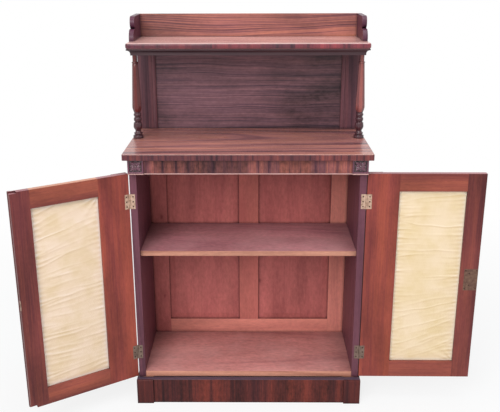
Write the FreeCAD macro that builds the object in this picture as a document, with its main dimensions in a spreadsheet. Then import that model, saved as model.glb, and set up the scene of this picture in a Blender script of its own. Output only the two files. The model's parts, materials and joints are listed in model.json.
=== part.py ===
import FreeCAD, Part
import math
import os
from types import SimpleNamespace

import Sketcher

# A chiffonier: a cupboard with two silk-panelled doors on a plinth, under a
# superstructure of a panelled back, two turned columns, a shelf and a gallery.
# X runs to the right, Y to the back and Z up. The origin is the middle of the
# front plinth board's underside. All sizes are in millimetres.

os.makedirs("parts", exist_ok=True)
doc = FreeCAD.newDocument("Chiffonier")
sheet = doc.addObject("Spreadsheet::Sheet", "Sizes")

DRIVING_SIZES = {
    # carcase
    "carcase_width": 797.0,
    "carcase_depth": 324.0,
    "carcase_setback": 22.0,
    "side_thickness": 23.5,
    "bottom_thickness": 21.0,
    "board_setback": 2.0,
    "housing_depth": 6.0,
    "shelf_height": 580.0,
    "shelf_thickness": 18.0,
    "shelf_setback": 17.0,
    "rail_thickness": 20.0,
    "rail_depth": 60.0,
    "rail_tongue": 8.0,
    # plinth
    "plinth_height": 95.0,
    "plinth_board": 20.0,
    "plinth_ledge": 6.5,
    "plinth_block_proud": 7.0,
    "plinth_block_width": 59.0,
    "plinth_arris": 3.0,
    "glue_block": 40.0,
    "glue_block_height": 70.0,
    # lower top
    "top_side_overhang": 15.0,
    "top_depth": 422.0,
    "top_thickness": 20.5,
    "top_height": 940.0,
    "top_overhang": 20.0,
    "top_corner": 6.0,
    "top_arris": 2.0,
    # frieze
    "frieze_height": 52.5,
    "frieze_thickness": 20.0,
    "frieze_bead": 4.0,
    "bead_nose": 2.4,
    "block_width": 53.0,
    "block_proud": 5.0,
    "patera_border": 5.0,
    "patera_depth": 3.5,
    "petal_length": 15.5,
    "petal_half_width": 3.4,
    "petal_shoulder": 8.5,
    "petal_rise": 2.4,
    "petal_count": 8.0,
    "leaf_root": 3.2,
    "boss_radius": 4.6,
    # panelled back
    "back_thickness": 17.0,
    "back_rebate": 12.0,
    "back_member": 74.0,
    "back_bottom_rail": 79.0,
    "back_tenon": 30.0,
    "tenon_shoulder": 10.0,
    "tongue_thickness": 6.0,
    "groove_depth": 8.0,
    "field_rise": 4.0,
    "field_bevel": 22.0,
    "field_gap": 2.0,
    # doors
    "door_thickness": 20.0,
    "door_gap": 1.0,
    "door_end_gap": 3.0,
    "meeting_gap": 2.0,
    "hinge_stile": 109.0,
    "door_member": 62.0,
    "door_tenon": 40.0,
    "door_tenon_thickness": 5.0,
    "door_tenon_setback": 1.4,
    "pilaster_thickness": 4.0,
    "silk_recess": 9.0,
    "silk_thickness": 2.7,
    "soft_gap": 0.3,
    "rebate_width": 8.0,
    "sight_lap": 2.5,
    "sight_proud": 1.5,
    "sight_bevel": 5.5,
    "left_door_angle": 146.5,
    "right_door_angle": 179.6,
    "astragal_land": 10.0,
    "astragal_lap": 1.6,
    "astragal_radius": 6.2,
    "notch_width": 22.0,
    "notch_depth": 15.0,
    "top_notch": 5.0,
    "bottom_notch": 9.0,
    # hinges
    "hinge_height": 52.0,
    "hinge_end": 72.0,
    "leaf_reach": 18.0,
    "leaf_thickness": 1.4,
    "leaf_proud": 0.2,
    "knuckle_radius": 2.8,
    "pin_radius": 1.4,
    "pin_clearance": 0.05,
    "axis_outset": 1.3,
    "knuckle_clearance": 0.35,
    "knuckle_gap": 0.2,
    # lock and strike
    "lock_height": 80.0,
    "lock_width": 48.0,
    "lock_depth": 9.0,
    "lock_plate": 1.5,
    "lock_margin": 6.0,
    "lock_middle": 481.0,
    "bolt_height": 12.0,
    "bolt_thickness": 4.0,
    "bolt_length": 26.0,
    "bolt_throw": 8.0,
    "bolt_clearance": 0.3,
    "strike_clearance": 0.9,
    "strike_depth": 12.0,
    "key_inset": 27.0,
    "key_drop": 14.0,
    "key_radius": 3.0,
    "liner_radius": 5.0,
    "liner_length": 5.0,
    "strike_height": 34.0,
    # superstructure
    "upper_back_height": 318.5,
    "upper_back_thickness": 16.0,
    "upper_stile": 51.5,
    "upper_stile_inset": 5.5,
    "upper_panel_thickness": 8.0,
    "upper_groove": 6.0,
    "upper_bead": 14.0,
    "upper_bead_shoulder": 3.5,
    "upper_bead_round": 8.7,
    "stile_tenon": 9.0,
    "upper_shelf_depth": 246.0,
    "upper_shelf_thickness": 20.5,
    "upper_shelf_corner": 11.0,
    "nose_radius": 7.0,
    "moulding_height": 21.5,
    "moulding_inset": 2.5,
    "moulding_width": 38.0,
    "moulding_fillet": 5.0,
    "cavetto_radius": 12.5,
    "gallery_height": 81.0,
    "gallery_back_thickness": 14.0,
    "gallery_end_thickness": 16.0,
    "gallery_end_length": 186.0,
    "gallery_inset": 5.5,
    "upper_lobe_radius": 22.0,
    "upper_lobe_reach": 34.0,
    "upper_lobe_pinch": 16.0,
    "lower_lobe_height": 39.0,
    "lower_lobe_radius": 32.0,
    # columns
    "column_inset": 20.5,
    "column_setback": 74.0,
    "column_base_radius": 18.0,
    "column_base": 10.0,
    "column_neck_radius": 6.8,
    "column_waist_level": 25.0,
    "column_vase_radius": 15.6,
    "column_vase_level": 39.0,
    "column_vase_lip_radius": 12.4,
    "column_vase_head": 57.0,
    "column_groove_radius": 10.8,
    "column_ring_radius": 13.2,
    "column_ring": 9.0,
    "column_lower_ring_level": 67.0,
    "column_upper_ring_level": 83.5,
    "shaft_base_radius": 11.8,
    "shaft_base_level": 93.0,
    "shaft_swell_radius": 17.0,
    "shaft_swell_level": 111.0,
    "shaft_head_radius": 10.2,
    "shaft_head_drop": 33.0,
    "shaft_facets": 8.0,
    "column_head_ring_radius": 11.4,
    "column_head_ring": 4.0,
    "column_collar_radius": 8.4,
    "column_tenon_radius": 4.5,
    "column_tenon": 8.0,
}


class Size:
    """A length with the spreadsheet expression that gives it."""

    def __init__(self, value, text):
        self.value = float(value)
        self.text = text

    def _with(self, other, sign, value):
        return Size(value, f"({self.text} {sign} {as_size(other).text})")

    def __add__(self, other):
        return self._with(other, "+", self.value + as_size(other).value)

    def __sub__(self, other):
        return self._with(other, "-", self.value - as_size(other).value)

    def __mul__(self, other):
        return self._with(other, "*", self.value * as_size(other).value)

    def __truediv__(self, other):
        return self._with(other, "/", self.value / as_size(other).value)

    def __radd__(self, other):
        return as_size(other) + self

    def __rsub__(self, other):
        return as_size(other) - self

    def __rmul__(self, other):
        return as_size(other) * self

    def __neg__(self):
        return as_size(0) - self


def as_size(number):
    """Return a plain number as a Size, and a Size as it is."""
    if isinstance(number, Size):
        return number
    return Size(number, f"{number:.6f}")


def cosine(degrees):
    return Size(math.cos(math.radians(degrees.value)), f"cos({degrees.text})")


def sine(degrees):
    return Size(math.sin(math.radians(degrees.value)), f"sin({degrees.text})")


for row, (alias, number) in enumerate(DRIVING_SIZES.items(), start=1):
    sheet.set(f"A{row}", alias)
    sheet.set(f"B{row}", str(number))
    sheet.setAlias(f"B{row}", alias)
doc.recompute()
S = SimpleNamespace(**{alias: Size(number, f"Sizes.{alias}") for alias, number in DRIVING_SIZES.items()})

LEFT = -1
RIGHT = 1
SIDE_NAMES = {LEFT: "left", RIGHT: "right"}
OVERCUT = 20.0
FULL_TURN = 360
HALF_TURN = 180
KNUCKLES = 3

# ---- levels and planes worked out from the driving sizes ----
plinth_face = -S.plinth_board / 2
plinth_rear = S.plinth_board / 2
carcase_front = plinth_face + S.carcase_setback
carcase_back = carcase_front + S.carcase_depth
half_carcase = S.carcase_width / 2
inner_side = half_carcase - S.side_thickness
half_plinth = half_carcase + S.plinth_ledge
under_top = S.top_height - S.top_thickness
frieze_foot = under_top - S.frieze_height
bottom_level = S.plinth_height + S.bottom_thickness
back_face = carcase_back - S.back_thickness
half_back = inner_side + S.back_rebate
tongue_front = back_face + (S.back_thickness - S.tongue_thickness) / 2
tongue_back = tongue_front + S.tongue_thickness
back_stile_edge = half_back - S.back_member
half_muntin = S.back_member / 2
lower_rail_top = S.plinth_height + S.back_bottom_rail
upper_rail_foot = under_top - S.back_member
top_front = plinth_face - S.top_overhang
top_back = top_front + S.top_depth
half_top = half_carcase + S.top_side_overhang
block_inner = half_carcase - S.block_width
bead_top = frieze_foot + S.frieze_bead
frieze_face = carcase_front - S.frieze_thickness
block_face = frieze_face - S.block_proud

door_inside = carcase_front - S.door_gap
door_outside = door_inside - S.door_thickness
door_foot = S.plinth_height + S.door_end_gap
door_head = frieze_foot - S.door_end_gap
meeting_edge = S.meeting_gap / 2
hinge_stile_edge = half_carcase - S.hinge_stile
meeting_stile_edge = meeting_edge + S.door_member
opening_foot = door_foot + S.door_member
opening_head = door_head - S.door_member
silk_plane = door_inside - S.silk_recess
hinge_x = half_carcase + S.axis_outset
hinge_y = carcase_front - S.door_gap / 2
hinge_middles = (door_foot + S.hinge_end + S.hinge_height / 2,
                 door_head - S.hinge_end - S.hinge_height / 2)

upper_back_face = top_back - S.upper_back_thickness
shelf_foot = S.top_height + S.upper_back_height
shelf_top = shelf_foot + S.upper_shelf_thickness
shelf_front = top_back - S.upper_shelf_depth
half_shelf = half_top
moulding_foot = shelf_foot - S.moulding_height
stile_outer = half_top - S.upper_stile_inset
stile_inner = stile_outer - S.upper_stile
upper_groove_front = upper_back_face + (S.upper_back_thickness - S.upper_panel_thickness) / 2
column_x = half_top - S.column_inset
column_y = shelf_front + S.column_setback
column_height = S.upper_back_height - S.moulding_height
shaft_base = S.shaft_base_level
shaft_swell = S.shaft_swell_level
shaft_head = column_height - S.shaft_head_drop
gallery_outer = half_shelf - S.gallery_inset
gallery_inner = gallery_outer - S.gallery_end_thickness


# ---- makers ----
def bind(obj, path, size):
    """Drive one property of an object from the spreadsheet."""
    obj.setExpression(path, as_size(size).text)


def across(side, inner, outer):
    """Return the low and high X of a piece between two distances from the middle."""
    if side == RIGHT:
        return as_size(inner), as_size(outer)
    return -as_size(outer), -as_size(inner)


def swung(side, x, y):
    """Return where a point of a closed door lies once the door stands open."""
    angle = S.left_door_angle * -1 if side == LEFT else S.right_door_angle
    pivot_x = hinge_x * side
    from_x = x - pivot_x
    from_y = y - hinge_y
    turned_x = pivot_x + from_x * cosine(angle) - from_y * sine(angle)
    turned_y = hinge_y + from_x * sine(angle) + from_y * cosine(angle)
    return angle, turned_x, turned_y


def hang(obj, side, corner=(0, 0)):
    """Stand a closed door's piece in the open pose of its door."""
    angle, base_x, base_y = swung(side, as_size(corner[0]), as_size(corner[1]))
    obj.Placement.Rotation = FreeCAD.Rotation(FreeCAD.Vector(0, 0, 1), angle.value)
    bind(obj, "Placement.Rotation.Angle", angle)
    bind(obj, "Placement.Base.x", base_x)
    bind(obj, "Placement.Base.y", base_y)
    return obj


def board(name, wide, deep, high, door=None):
    """Make a sawn board from its low and high edges along X, Y and Z."""
    box = doc.addObject("Part::Box", name)
    box.Label = name
    bind(box, "Length", wide[1] - wide[0])
    bind(box, "Width", deep[1] - deep[0])
    bind(box, "Height", high[1] - high[0])
    bind(box, "Placement.Base.x", wide[0])
    bind(box, "Placement.Base.y", deep[0])
    bind(box, "Placement.Base.z", high[0])
    if door is not None:
        hang(box, door, (wide[0], deep[0]))
    return box


def rod(name, radius, length, x, y, z, axis="Z"):
    """Make a cylinder that starts at a point and runs along +X, +Y or +Z."""
    turns = {"Z": ((0, 0, 1), 0), "X": ((0, 1, 0), 90), "Y": ((1, 0, 0), -90)}
    direction, degrees = turns[axis]
    cylinder = doc.addObject("Part::Cylinder", name)
    cylinder.Placement.Rotation = FreeCAD.Rotation(FreeCAD.Vector(*direction), degrees)
    bind(cylinder, "Radius", radius)
    bind(cylinder, "Height", length)
    bind(cylinder, "Placement.Base.x", x)
    bind(cylinder, "Placement.Base.y", y)
    bind(cylinder, "Placement.Base.z", z)
    return cylinder


def joined(name, pieces, door=None):
    """Fuse pieces into one solid."""
    fusion = doc.addObject("Part::MultiFuse", name)
    fusion.Label = name
    fusion.Shapes = pieces
    fusion.Refine = True
    if door is not None:
        hang(fusion, door)
    return fusion


def grouped(name, pieces, door=None):
    """Keep like pieces as separate solids in one node."""
    compound = doc.addObject("Part::Compound", name)
    compound.Label = name
    compound.Links = pieces
    if door is not None:
        hang(compound, door)
    return compound


def cut_from(name, stock, tools, door=None):
    """Cut the tools away from the stock."""
    cut = doc.addObject("Part::Cut", name)
    cut.Label = name
    cut.Base = stock
    cut.Tool = tools[0] if len(tools) == 1 else joined(name + "_tools", tools)
    cut.Refine = True
    if door is not None:
        hang(cut, door)
    return cut


class To:
    """A point of an outline, reached by a line or by an arc."""

    def __init__(self, across_size, up_size, radius=None, turn=1):
        self.u = as_size(across_size)
        self.v = as_size(up_size)
        self.radius = radius
        self.turn = turn

    def arc_from(self, start):
        """Return the arc from another point to this one, as the shorter way round."""
        chord = FreeCAD.Vector(self.u.value - start.u.value, self.v.value - start.v.value, 0)
        radius = self.radius.value
        height = math.sqrt(max(radius * radius - chord.Length ** 2 / 4, 0))
        left = FreeCAD.Vector(-chord.y, chord.x, 0).normalize()
        middle = FreeCAD.Vector(start.u.value, start.v.value, 0) + chord * 0.5
        centre = middle + left * (height * self.turn)
        first = math.atan2(start.v.value - centre.y, start.u.value - centre.x)
        last = math.atan2(self.v.value - centre.y, self.u.value - centre.x)
        circle = Part.Circle(centre, FreeCAD.Vector(0, 0, 1), radius)
        if self.turn > 0:
            return Part.ArcOfCircle(circle, first, last)
        return Part.ArcOfCircle(circle, last, first)


def drawn(body, name, plane, outline, offset=0):
    """Draw a closed outline on one of a body's own planes, every point bound to the sheet."""
    sketch = body.newObject("Sketcher::SketchObject", name)
    origin_plane = [item for item in body.Origin.OriginFeatures if item.Role == plane + "_Plane"][0]
    sketch.AttachmentSupport = [(origin_plane, "")]
    sketch.MapMode = "FlatFace"
    bind(sketch, "AttachmentOffset.Base.z", offset)
    ends = []
    for index, point in enumerate(outline):
        start = outline[index - 1]
        if point.radius is None:
            first = FreeCAD.Vector(start.u.value, start.v.value, 0)
            last = FreeCAD.Vector(point.u.value, point.v.value, 0)
            edge = sketch.addGeometry(Part.LineSegment(first, last))
            ends.append((edge, 1, 2))
        else:
            edge = sketch.addGeometry(point.arc_from(start))
            ends.append((edge, 1, 2) if point.turn > 0 else (edge, 2, 1))
    for index, (edge, _, last) in enumerate(ends):
        following, first, _ = ends[(index + 1) % len(ends)]
        sketch.addConstraint(Sketcher.Constraint("Coincident", edge, last, following, first))
    for (edge, _, last), point in zip(ends, outline):
        for kind, size in (("DistanceX", point.u), ("DistanceY", point.v)):
            rule = sketch.addConstraint(Sketcher.Constraint(kind, edge, last, size.value))
            bind(sketch, f"Constraints[{rule}]", size)
        if point.radius is not None:
            rule = sketch.addConstraint(Sketcher.Constraint("Radius", edge, point.radius.value))
            bind(sketch, f"Constraints[{rule}]", point.radius)
    return sketch


def extruded(name, plane, outline, low, high, door=None):
    """Extrude a profile between two positions along its plane's normal axis."""
    body = doc.addObject("PartDesign::Body", name)
    body.Label = name
    start = -as_size(high) if plane == "XZ" else low
    sketch = drawn(body, name + "_profile", plane, outline, start)
    pad = body.newObject("PartDesign::Pad", name + "_pad")
    pad.Profile = sketch
    bind(pad, "Length", as_size(high) - low)
    body.Tip = pad
    if door is not None:
        hang(body, door)
    return body


def rectangle(low_u, high_u, low_v, high_v):
    return [To(low_u, low_v), To(high_u, low_v), To(high_u, high_v), To(low_u, high_v)]


def rounded(body, name, radius, chosen):
    """Round the edges of a body's tip that a test picks."""
    doc.recompute()
    base = body.Tip
    names = [f"Edge{number}" for number, edge in enumerate(base.Shape.Edges, start=1) if chosen(edge)]
    fillet = body.newObject("PartDesign::Fillet", name)
    fillet.Base = (base, names)
    bind(fillet, "Radius", radius)
    body.Tip = fillet
    return fillet


def near(first, second):
    return abs(first - as_size(second).value) < 0.01


# ---- the carcase ----
def shelf_housings(side):
    """Return the housings in a side for the shelf and the bottom board, and its back rebate."""
    depth = across(side, inner_side - OVERCUT, inner_side + S.housing_depth)
    shelf_front_edge = carcase_front + S.shelf_setback
    board_front = carcase_front + S.board_setback
    name = "side_" + SIDE_NAMES[side]
    return [
        board(name + "_shelf_housing", depth, (shelf_front_edge, back_face),
              (S.shelf_height - S.shelf_thickness, S.shelf_height)),
        board(name + "_bottom_housing", depth, (board_front, back_face),
              (S.plinth_height - OVERCUT, bottom_level)),
        board(name + "_back_rebate", across(side, inner_side - OVERCUT, half_back),
              (back_face, carcase_back + OVERCUT), (S.plinth_height - OVERCUT, under_top + OVERCUT)),
    ]


def rail_spans():
    """Return the front and back extents of the two top rails."""
    front = (carcase_front, carcase_front + S.rail_depth)
    back = (back_face - S.rail_depth, back_face)
    return {"front": front, "back": back}


def rail_housings(side):
    depth = across(side, inner_side - OVERCUT, inner_side + S.rail_tongue)
    high = (under_top - S.rail_thickness, under_top + OVERCUT)
    return [board(f"side_{SIDE_NAMES[side]}_{end}_rail_housing", depth, span, high)
            for end, span in rail_spans().items()]


def make_side(side):
    name = "side_" + SIDE_NAMES[side]
    stock = board(name + "_stock", across(side, inner_side, half_carcase),
                  (carcase_front, carcase_back), (S.plinth_height, under_top))
    tools = shelf_housings(side) + rail_housings(side) + hinge_gains(side, "side")
    return cut_from(name, stock, tools)


def make_inner_boards():
    half_board = inner_side + S.housing_depth
    both = (-half_board, half_board)
    pieces = [
        board("bottom_board", both, (carcase_front + S.board_setback, back_face),
              (S.plinth_height, bottom_level)),
        board("shelf_middle", both, (carcase_front + S.shelf_setback, back_face),
              (S.shelf_height - S.shelf_thickness, S.shelf_height)),
    ]
    half_rail = inner_side + S.rail_tongue
    high = (under_top - S.rail_thickness, under_top)
    pieces += [board(f"top_rail_{end}", (-half_rail, half_rail), span, high)
               for end, span in rail_spans().items()]
    return pieces


def make_frieze():
    wide = (-block_inner, block_inner)
    strips = [extruded("frieze_bead_middle", "YZ", bead_outline(frieze_face), wide[0], wide[1])]
    for side in (LEFT, RIGHT):
        ends = across(side, block_inner, half_carcase)
        strips.append(extruded("frieze_bead_" + SIDE_NAMES[side], "YZ", bead_outline(block_face), ends[0], ends[1]))
    pieces = [
        board("frieze_board", wide, (frieze_face, carcase_front), (bead_top, under_top)),
        grouped("frieze_bead", strips),
    ]
    pieces += [make_patera_block(side) for side in (LEFT, RIGHT)]
    return pieces


def bead_outline(face):
    """Return the section of the round bead at the foot of the frieze."""
    return [
        To(carcase_front, frieze_foot),
        To(carcase_front, bead_top),
        To(face, bead_top),
        To(face, frieze_foot, S.bead_nose, 1),
    ]


def make_patera_block(side):
    """Make a frieze block with a sunk square that holds a flower of pointed leaves."""
    name = "frieze_block_" + SIDE_NAMES[side]
    wide = across(side, block_inner, half_carcase)
    floor = block_face + S.patera_depth
    middle = ((wide[0] + wide[1]) / 2, (bead_top + under_top) / 2)
    body = doc.addObject("PartDesign::Body", name + "_carving")
    square = rectangle(wide[0], wide[1], bead_top, under_top)
    block = drawn(body, name + "_outline", "XZ", square, -carcase_front)
    pad = body.newObject("PartDesign::Pad", name + "_pad")
    pad.Profile = block
    bind(pad, "Length", carcase_front - block_face)
    body.Tip = pad
    border = S.patera_border
    inner_square = rectangle(wide[0] + border, wide[1] - border, bead_top + border, under_top - border)
    sunk = drawn(body, name + "_sunk", "XZ", inner_square, -floor)
    pocket = body.newObject("PartDesign::Pocket", name + "_pocket")
    pocket.Profile = sunk
    bind(pocket, "Length", S.patera_depth + OVERCUT)
    pocket.Reversed = True
    body.Tip = pocket
    doc.recompute()
    if pocket.Shape.Volume >= pad.Shape.Volume:
        raise RuntimeError(f"the pocket of {name} cuts nothing")
    shoulder = S.leaf_root + S.petal_shoulder
    leaf_shape = [
        To(S.leaf_root, 0),
        To(shoulder, -S.petal_half_width),
        To(S.leaf_root + S.petal_length, 0),
        To(shoulder, S.petal_half_width),
    ]
    leaf = drawn(body, name + "_leaf", "XZ", leaf_shape, -floor)
    bind(leaf, "AttachmentOffset.Base.x", middle[0])
    bind(leaf, "AttachmentOffset.Base.y", middle[1])
    petal = body.newObject("PartDesign::Pad", name + "_leaf_pad")
    petal.Profile = leaf
    bind(petal, "Length", S.petal_rise)
    body.Tip = petal
    pattern = body.newObject("PartDesign::PolarPattern", name + "_leaves")
    pattern.Originals = [petal]
    pattern.Axis = (leaf, ["N_Axis"])
    pattern.Angle = FULL_TURN
    bind(pattern, "Occurrences", S.petal_count)
    body.Tip = pattern
    boss = doc.addObject("Part::Prism", name + "_boss")
    boss.Placement.Rotation = FreeCAD.Rotation(FreeCAD.Vector(1, 0, 0), 90)
    bind(boss, "Polygon", S.petal_count)
    bind(boss, "Circumradius", S.boss_radius)
    bind(boss, "Height", S.patera_depth)
    bind(boss, "Placement.Base.x", middle[0])
    bind(boss, "Placement.Base.y", floor)
    bind(boss, "Placement.Base.z", middle[1])
    return joined(name, [body, boss])


# ---- the panelled back ----
def make_back():
    deep = (back_face, carcase_back)
    tongue = (tongue_front, tongue_back)
    rail_low = (S.plinth_height, lower_rail_top)
    rail_high = (upper_rail_foot, under_top)
    panel_high = (lower_rail_top - S.groove_depth, upper_rail_foot + S.groove_depth)
    pieces = []
    for side in (LEFT, RIGHT):
        name = "back_stile_" + SIDE_NAMES[side]
        stock = board(name + "_stock", across(side, back_stile_edge, half_back), deep,
                      (S.plinth_height, under_top))
        open_edge = back_stile_edge - OVERCUT
        groove = board(name + "_groove", across(side, open_edge, back_stile_edge + S.groove_depth),
                       tongue, panel_high)
        mortise_wide = across(side, open_edge, back_stile_edge + S.back_tenon)
        mortises = [
            board(f"{name}_mortise_{end}", mortise_wide, tongue,
                  (low + S.tenon_shoulder, high - S.tenon_shoulder))
            for end, (low, high) in enumerate((rail_low, rail_high))
        ]
        pieces.append(cut_from(name, stock, [groove] + mortises))
    for name, (low, high) in (("back_rail_bottom", rail_low), ("back_rail_top", rail_high)):
        groove_high = (high - S.groove_depth, high + OVERCUT) if name.endswith("bottom") else (
            low - OVERCUT, low + S.groove_depth)
        mortise_high = (high - S.back_tenon, high + OVERCUT) if name.endswith("bottom") else (
            low - OVERCUT, low + S.back_tenon)
        stock = board(name + "_stock", (-back_stile_edge, back_stile_edge), deep, (low, high))
        groove = board(name + "_groove", (-back_stile_edge, back_stile_edge), tongue, groove_high)
        mortise = board(name + "_mortise", muntin_tenon_wide(), tongue, mortise_high)
        rail = cut_from(name + "_grooved", stock, [groove, mortise])
        tenon_high = (low + S.tenon_shoulder, high - S.tenon_shoulder)
        tenon_end = back_stile_edge + S.back_tenon
        tenons = [board(f"{name}_tenon_{SIDE_NAMES[side]}", across(side, back_stile_edge, tenon_end),
                        tongue, tenon_high) for side in (LEFT, RIGHT)]
        trimmed = board(name + "_haunch", (-back_stile_edge - OVERCUT * 3, back_stile_edge + OVERCUT * 3),
                        tongue, groove_high)
        tenoned = joined(name + "_tenoned", [rail] + tenons)
        pieces.append(cut_from(name, tenoned, [trimmed]))
    pieces.append(make_back_muntin(deep, tongue))
    pieces += make_back_panels(tongue, panel_high)
    return pieces


def muntin_tenon_wide():
    half = half_muntin - S.tenon_shoulder
    return -half, half


def make_back_muntin(deep, tongue):
    stock = board("back_muntin_stock", (-half_muntin, half_muntin), deep, (lower_rail_top, upper_rail_foot))
    groove_high = (lower_rail_top - OVERCUT, upper_rail_foot + OVERCUT)
    grooves = [
        board(f"back_muntin_groove_{SIDE_NAMES[side]}",
              across(side, half_muntin - S.groove_depth, half_muntin + OVERCUT), tongue, groove_high)
        for side in (LEFT, RIGHT)
    ]
    grooved = cut_from("back_muntin_grooved", stock, grooves)
    tenon = board("back_muntin_tenon", muntin_tenon_wide(), tongue,
                  (lower_rail_top - S.back_tenon, upper_rail_foot + S.back_tenon))
    return joined("back_muntin", [grooved, tenon])


def make_back_panels(tongue, panel_high):
    """Make the two raised and fielded panels, each a tongue with a bevelled field."""
    panels = []
    for side in (LEFT, RIGHT):
        name = "back_panel_" + SIDE_NAMES[side]
        wide = across(side, half_muntin - S.groove_depth, back_stile_edge + S.groove_depth)
        sheet_board = board(name + "_tongue", wide, tongue, panel_high)
        sight = across(side, half_muntin + S.field_gap, back_stile_edge - S.field_gap)
        low_z = lower_rail_top + S.field_gap
        high_z = upper_rail_foot - S.field_gap
        field = doc.addObject("Part::Wedge", name + "_field")
        edges = {
            "Ymin": tongue[0] - S.field_rise, "Ymax": tongue[0],
            "X2min": sight[0], "X2max": sight[1], "Z2min": low_z, "Z2max": high_z,
            "Xmin": sight[0] + S.field_bevel, "Xmax": sight[1] - S.field_bevel,
            "Zmin": low_z + S.field_bevel, "Zmax": high_z - S.field_bevel,
        }
        for path, size in edges.items():
            bind(field, path, size)
        panels.append(joined(name, [sheet_board, field]))
    return panels


# ---- the plinth ----
def arris_profile(front, back):
    """Return the section of a plinth board with a rounded top front arris."""
    return [
        To(back, 0),
        To(back, S.plinth_height),
        To(front + S.plinth_arris, S.plinth_height),
        To(front, S.plinth_height - S.plinth_arris, S.plinth_arris, 1),
        To(front, 0),
    ]


def make_plinth():
    board_inner = half_plinth - S.plinth_board
    block_section = arris_profile(plinth_face - S.plinth_block_proud, plinth_face)
    pieces = [extruded("plinth_front", "YZ", arris_profile(plinth_face, plinth_rear),
                       -half_plinth, half_plinth)]
    for side in (LEFT, RIGHT):
        wide = across(side, half_plinth - S.plinth_block_width, half_plinth)
        pieces.append(extruded("plinth_block_" + SIDE_NAMES[side], "YZ", block_section, wide[0], wide[1]))
        pieces.append(board("plinth_side_" + SIDE_NAMES[side], across(side, board_inner, half_plinth),
                            (plinth_rear, carcase_back), (as_size(0), S.plinth_height)))
    back_inner = carcase_back - S.plinth_board
    pieces.append(board("plinth_back", (-board_inner, board_inner), (back_inner, carcase_back),
                        (as_size(0), S.plinth_height)))
    blocks = []
    for side in (LEFT, RIGHT):
        for end, corner_y, inward in (("front", plinth_rear, 1), ("back", back_inner, -1)):
            corner_x = board_inner * side
            outline = [
                To(corner_x, corner_y),
                To(corner_x - S.glue_block * side, corner_y),
                To(corner_x, corner_y + S.glue_block * inward),
            ]
            blocks.append(extruded(f"glue_block_{end}_{SIDE_NAMES[side]}", "XY", outline,
                                   S.plinth_height - S.glue_block_height, S.plinth_height))
    pieces.append(grouped("plinth_glue_blocks", blocks))
    return pieces


# ---- the lower top ----
def make_top():
    """Make the top, its upper arris eased on three sides, with the superstructure's mortises."""
    body = doc.addObject("PartDesign::Body", "top_slab")
    outline = rectangle(-half_top, half_top, top_front, top_back)
    sketch = drawn(body, "top_outline", "XY", outline, under_top)
    pad = body.newObject("PartDesign::Pad", "top_pad")
    pad.Profile = sketch
    bind(pad, "Length", S.top_thickness)
    body.Tip = pad
    rounded(body, "top_corners", S.top_corner,
            lambda edge: near(edge.BoundBox.YMax, top_front) and edge.BoundBox.ZLength > 1)
    rounded(body, "top_arrises", S.top_arris,
            lambda edge: near(edge.BoundBox.ZMin, S.top_height) and not near(edge.BoundBox.YMin, top_back))
    tools = []
    for side in (LEFT, RIGHT):
        tools.append(rod("top_column_socket_" + SIDE_NAMES[side], S.column_tenon_radius, S.column_tenon,
                         column_x * side, column_y, S.top_height - S.column_tenon))
        tools.append(stile_tenon("top_mortise_" + SIDE_NAMES[side], side, S.top_height - S.stile_tenon))
    return cut_from("top_board", body, tools)


def stile_tenon(name, side, low):
    """Return the tenon at one end of an upper back stile, which is also its mortise."""
    wide = across(side, stile_inner + S.tenon_shoulder, stile_outer - S.tenon_shoulder)
    deep = (upper_groove_front, upper_groove_front + S.upper_panel_thickness)
    return board(name, wide, deep, (low, low + S.stile_tenon))


# ---- the superstructure ----
def make_upper_back():
    deep = (upper_back_face, top_back)
    groove_deep = (upper_groove_front, upper_groove_front + S.upper_panel_thickness)
    high = (S.top_height, shelf_foot)
    pieces = []
    for side in (LEFT, RIGHT):
        name = "upper_back_stile_" + SIDE_NAMES[side]
        stock = board(name + "_stock", across(side, stile_inner, stile_outer), deep, high)
        groove = board(name + "_groove", across(side, stile_inner - OVERCUT, stile_inner + S.upper_groove),
                       groove_deep, (S.top_height - OVERCUT, shelf_foot + OVERCUT))
        grooved = cut_from(name + "_grooved", stock, [groove])
        pieces.append(joined(name, [
            grooved,
            stile_tenon(name + "_foot_tenon", side, S.top_height - S.stile_tenon),
            stile_tenon(name + "_head_tenon", side, shelf_foot),
        ]))
        wide = across(side, stile_inner - S.upper_bead, stile_inner)
        shoulder = upper_groove_front - S.upper_bead_shoulder
        outline = [
            To(wide[0], upper_groove_front),
            To(wide[0], shoulder),
            To(wide[1], shoulder, S.upper_bead_round, 1),
            To(wide[1], upper_groove_front),
        ]
        pieces.append(extruded("upper_back_bead_" + SIDE_NAMES[side], "XY", outline, high[0], high[1]))
    half_panel = stile_inner + S.upper_groove
    pieces.append(board("upper_back_panel", (-half_panel, half_panel), groove_deep, high))
    return pieces


def make_upper_shelf():
    """Make the shelf with its round nose on the front and both ends."""
    body = doc.addObject("PartDesign::Body", "upper_shelf_slab")
    outline = rectangle(-half_shelf, half_shelf, shelf_front, top_back)
    sketch = drawn(body, "upper_shelf_outline", "XY", outline, shelf_foot)
    pad = body.newObject("PartDesign::Pad", "upper_shelf_pad")
    pad.Profile = sketch
    bind(pad, "Length", S.upper_shelf_thickness)
    body.Tip = pad
    rounded(body, "upper_shelf_corners", S.upper_shelf_corner,
            lambda edge: near(edge.BoundBox.YMax, shelf_front) and edge.BoundBox.ZLength > 1)
    rounded(body, "upper_shelf_nose", S.nose_radius,
            lambda edge: edge.BoundBox.ZLength < 0.01 and not near(edge.BoundBox.YMin, top_back))
    tools = [stile_tenon("upper_shelf_mortise_" + SIDE_NAMES[side], side, shelf_foot)
             for side in (LEFT, RIGHT)]
    return cut_from("upper_shelf", body, tools)


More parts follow.
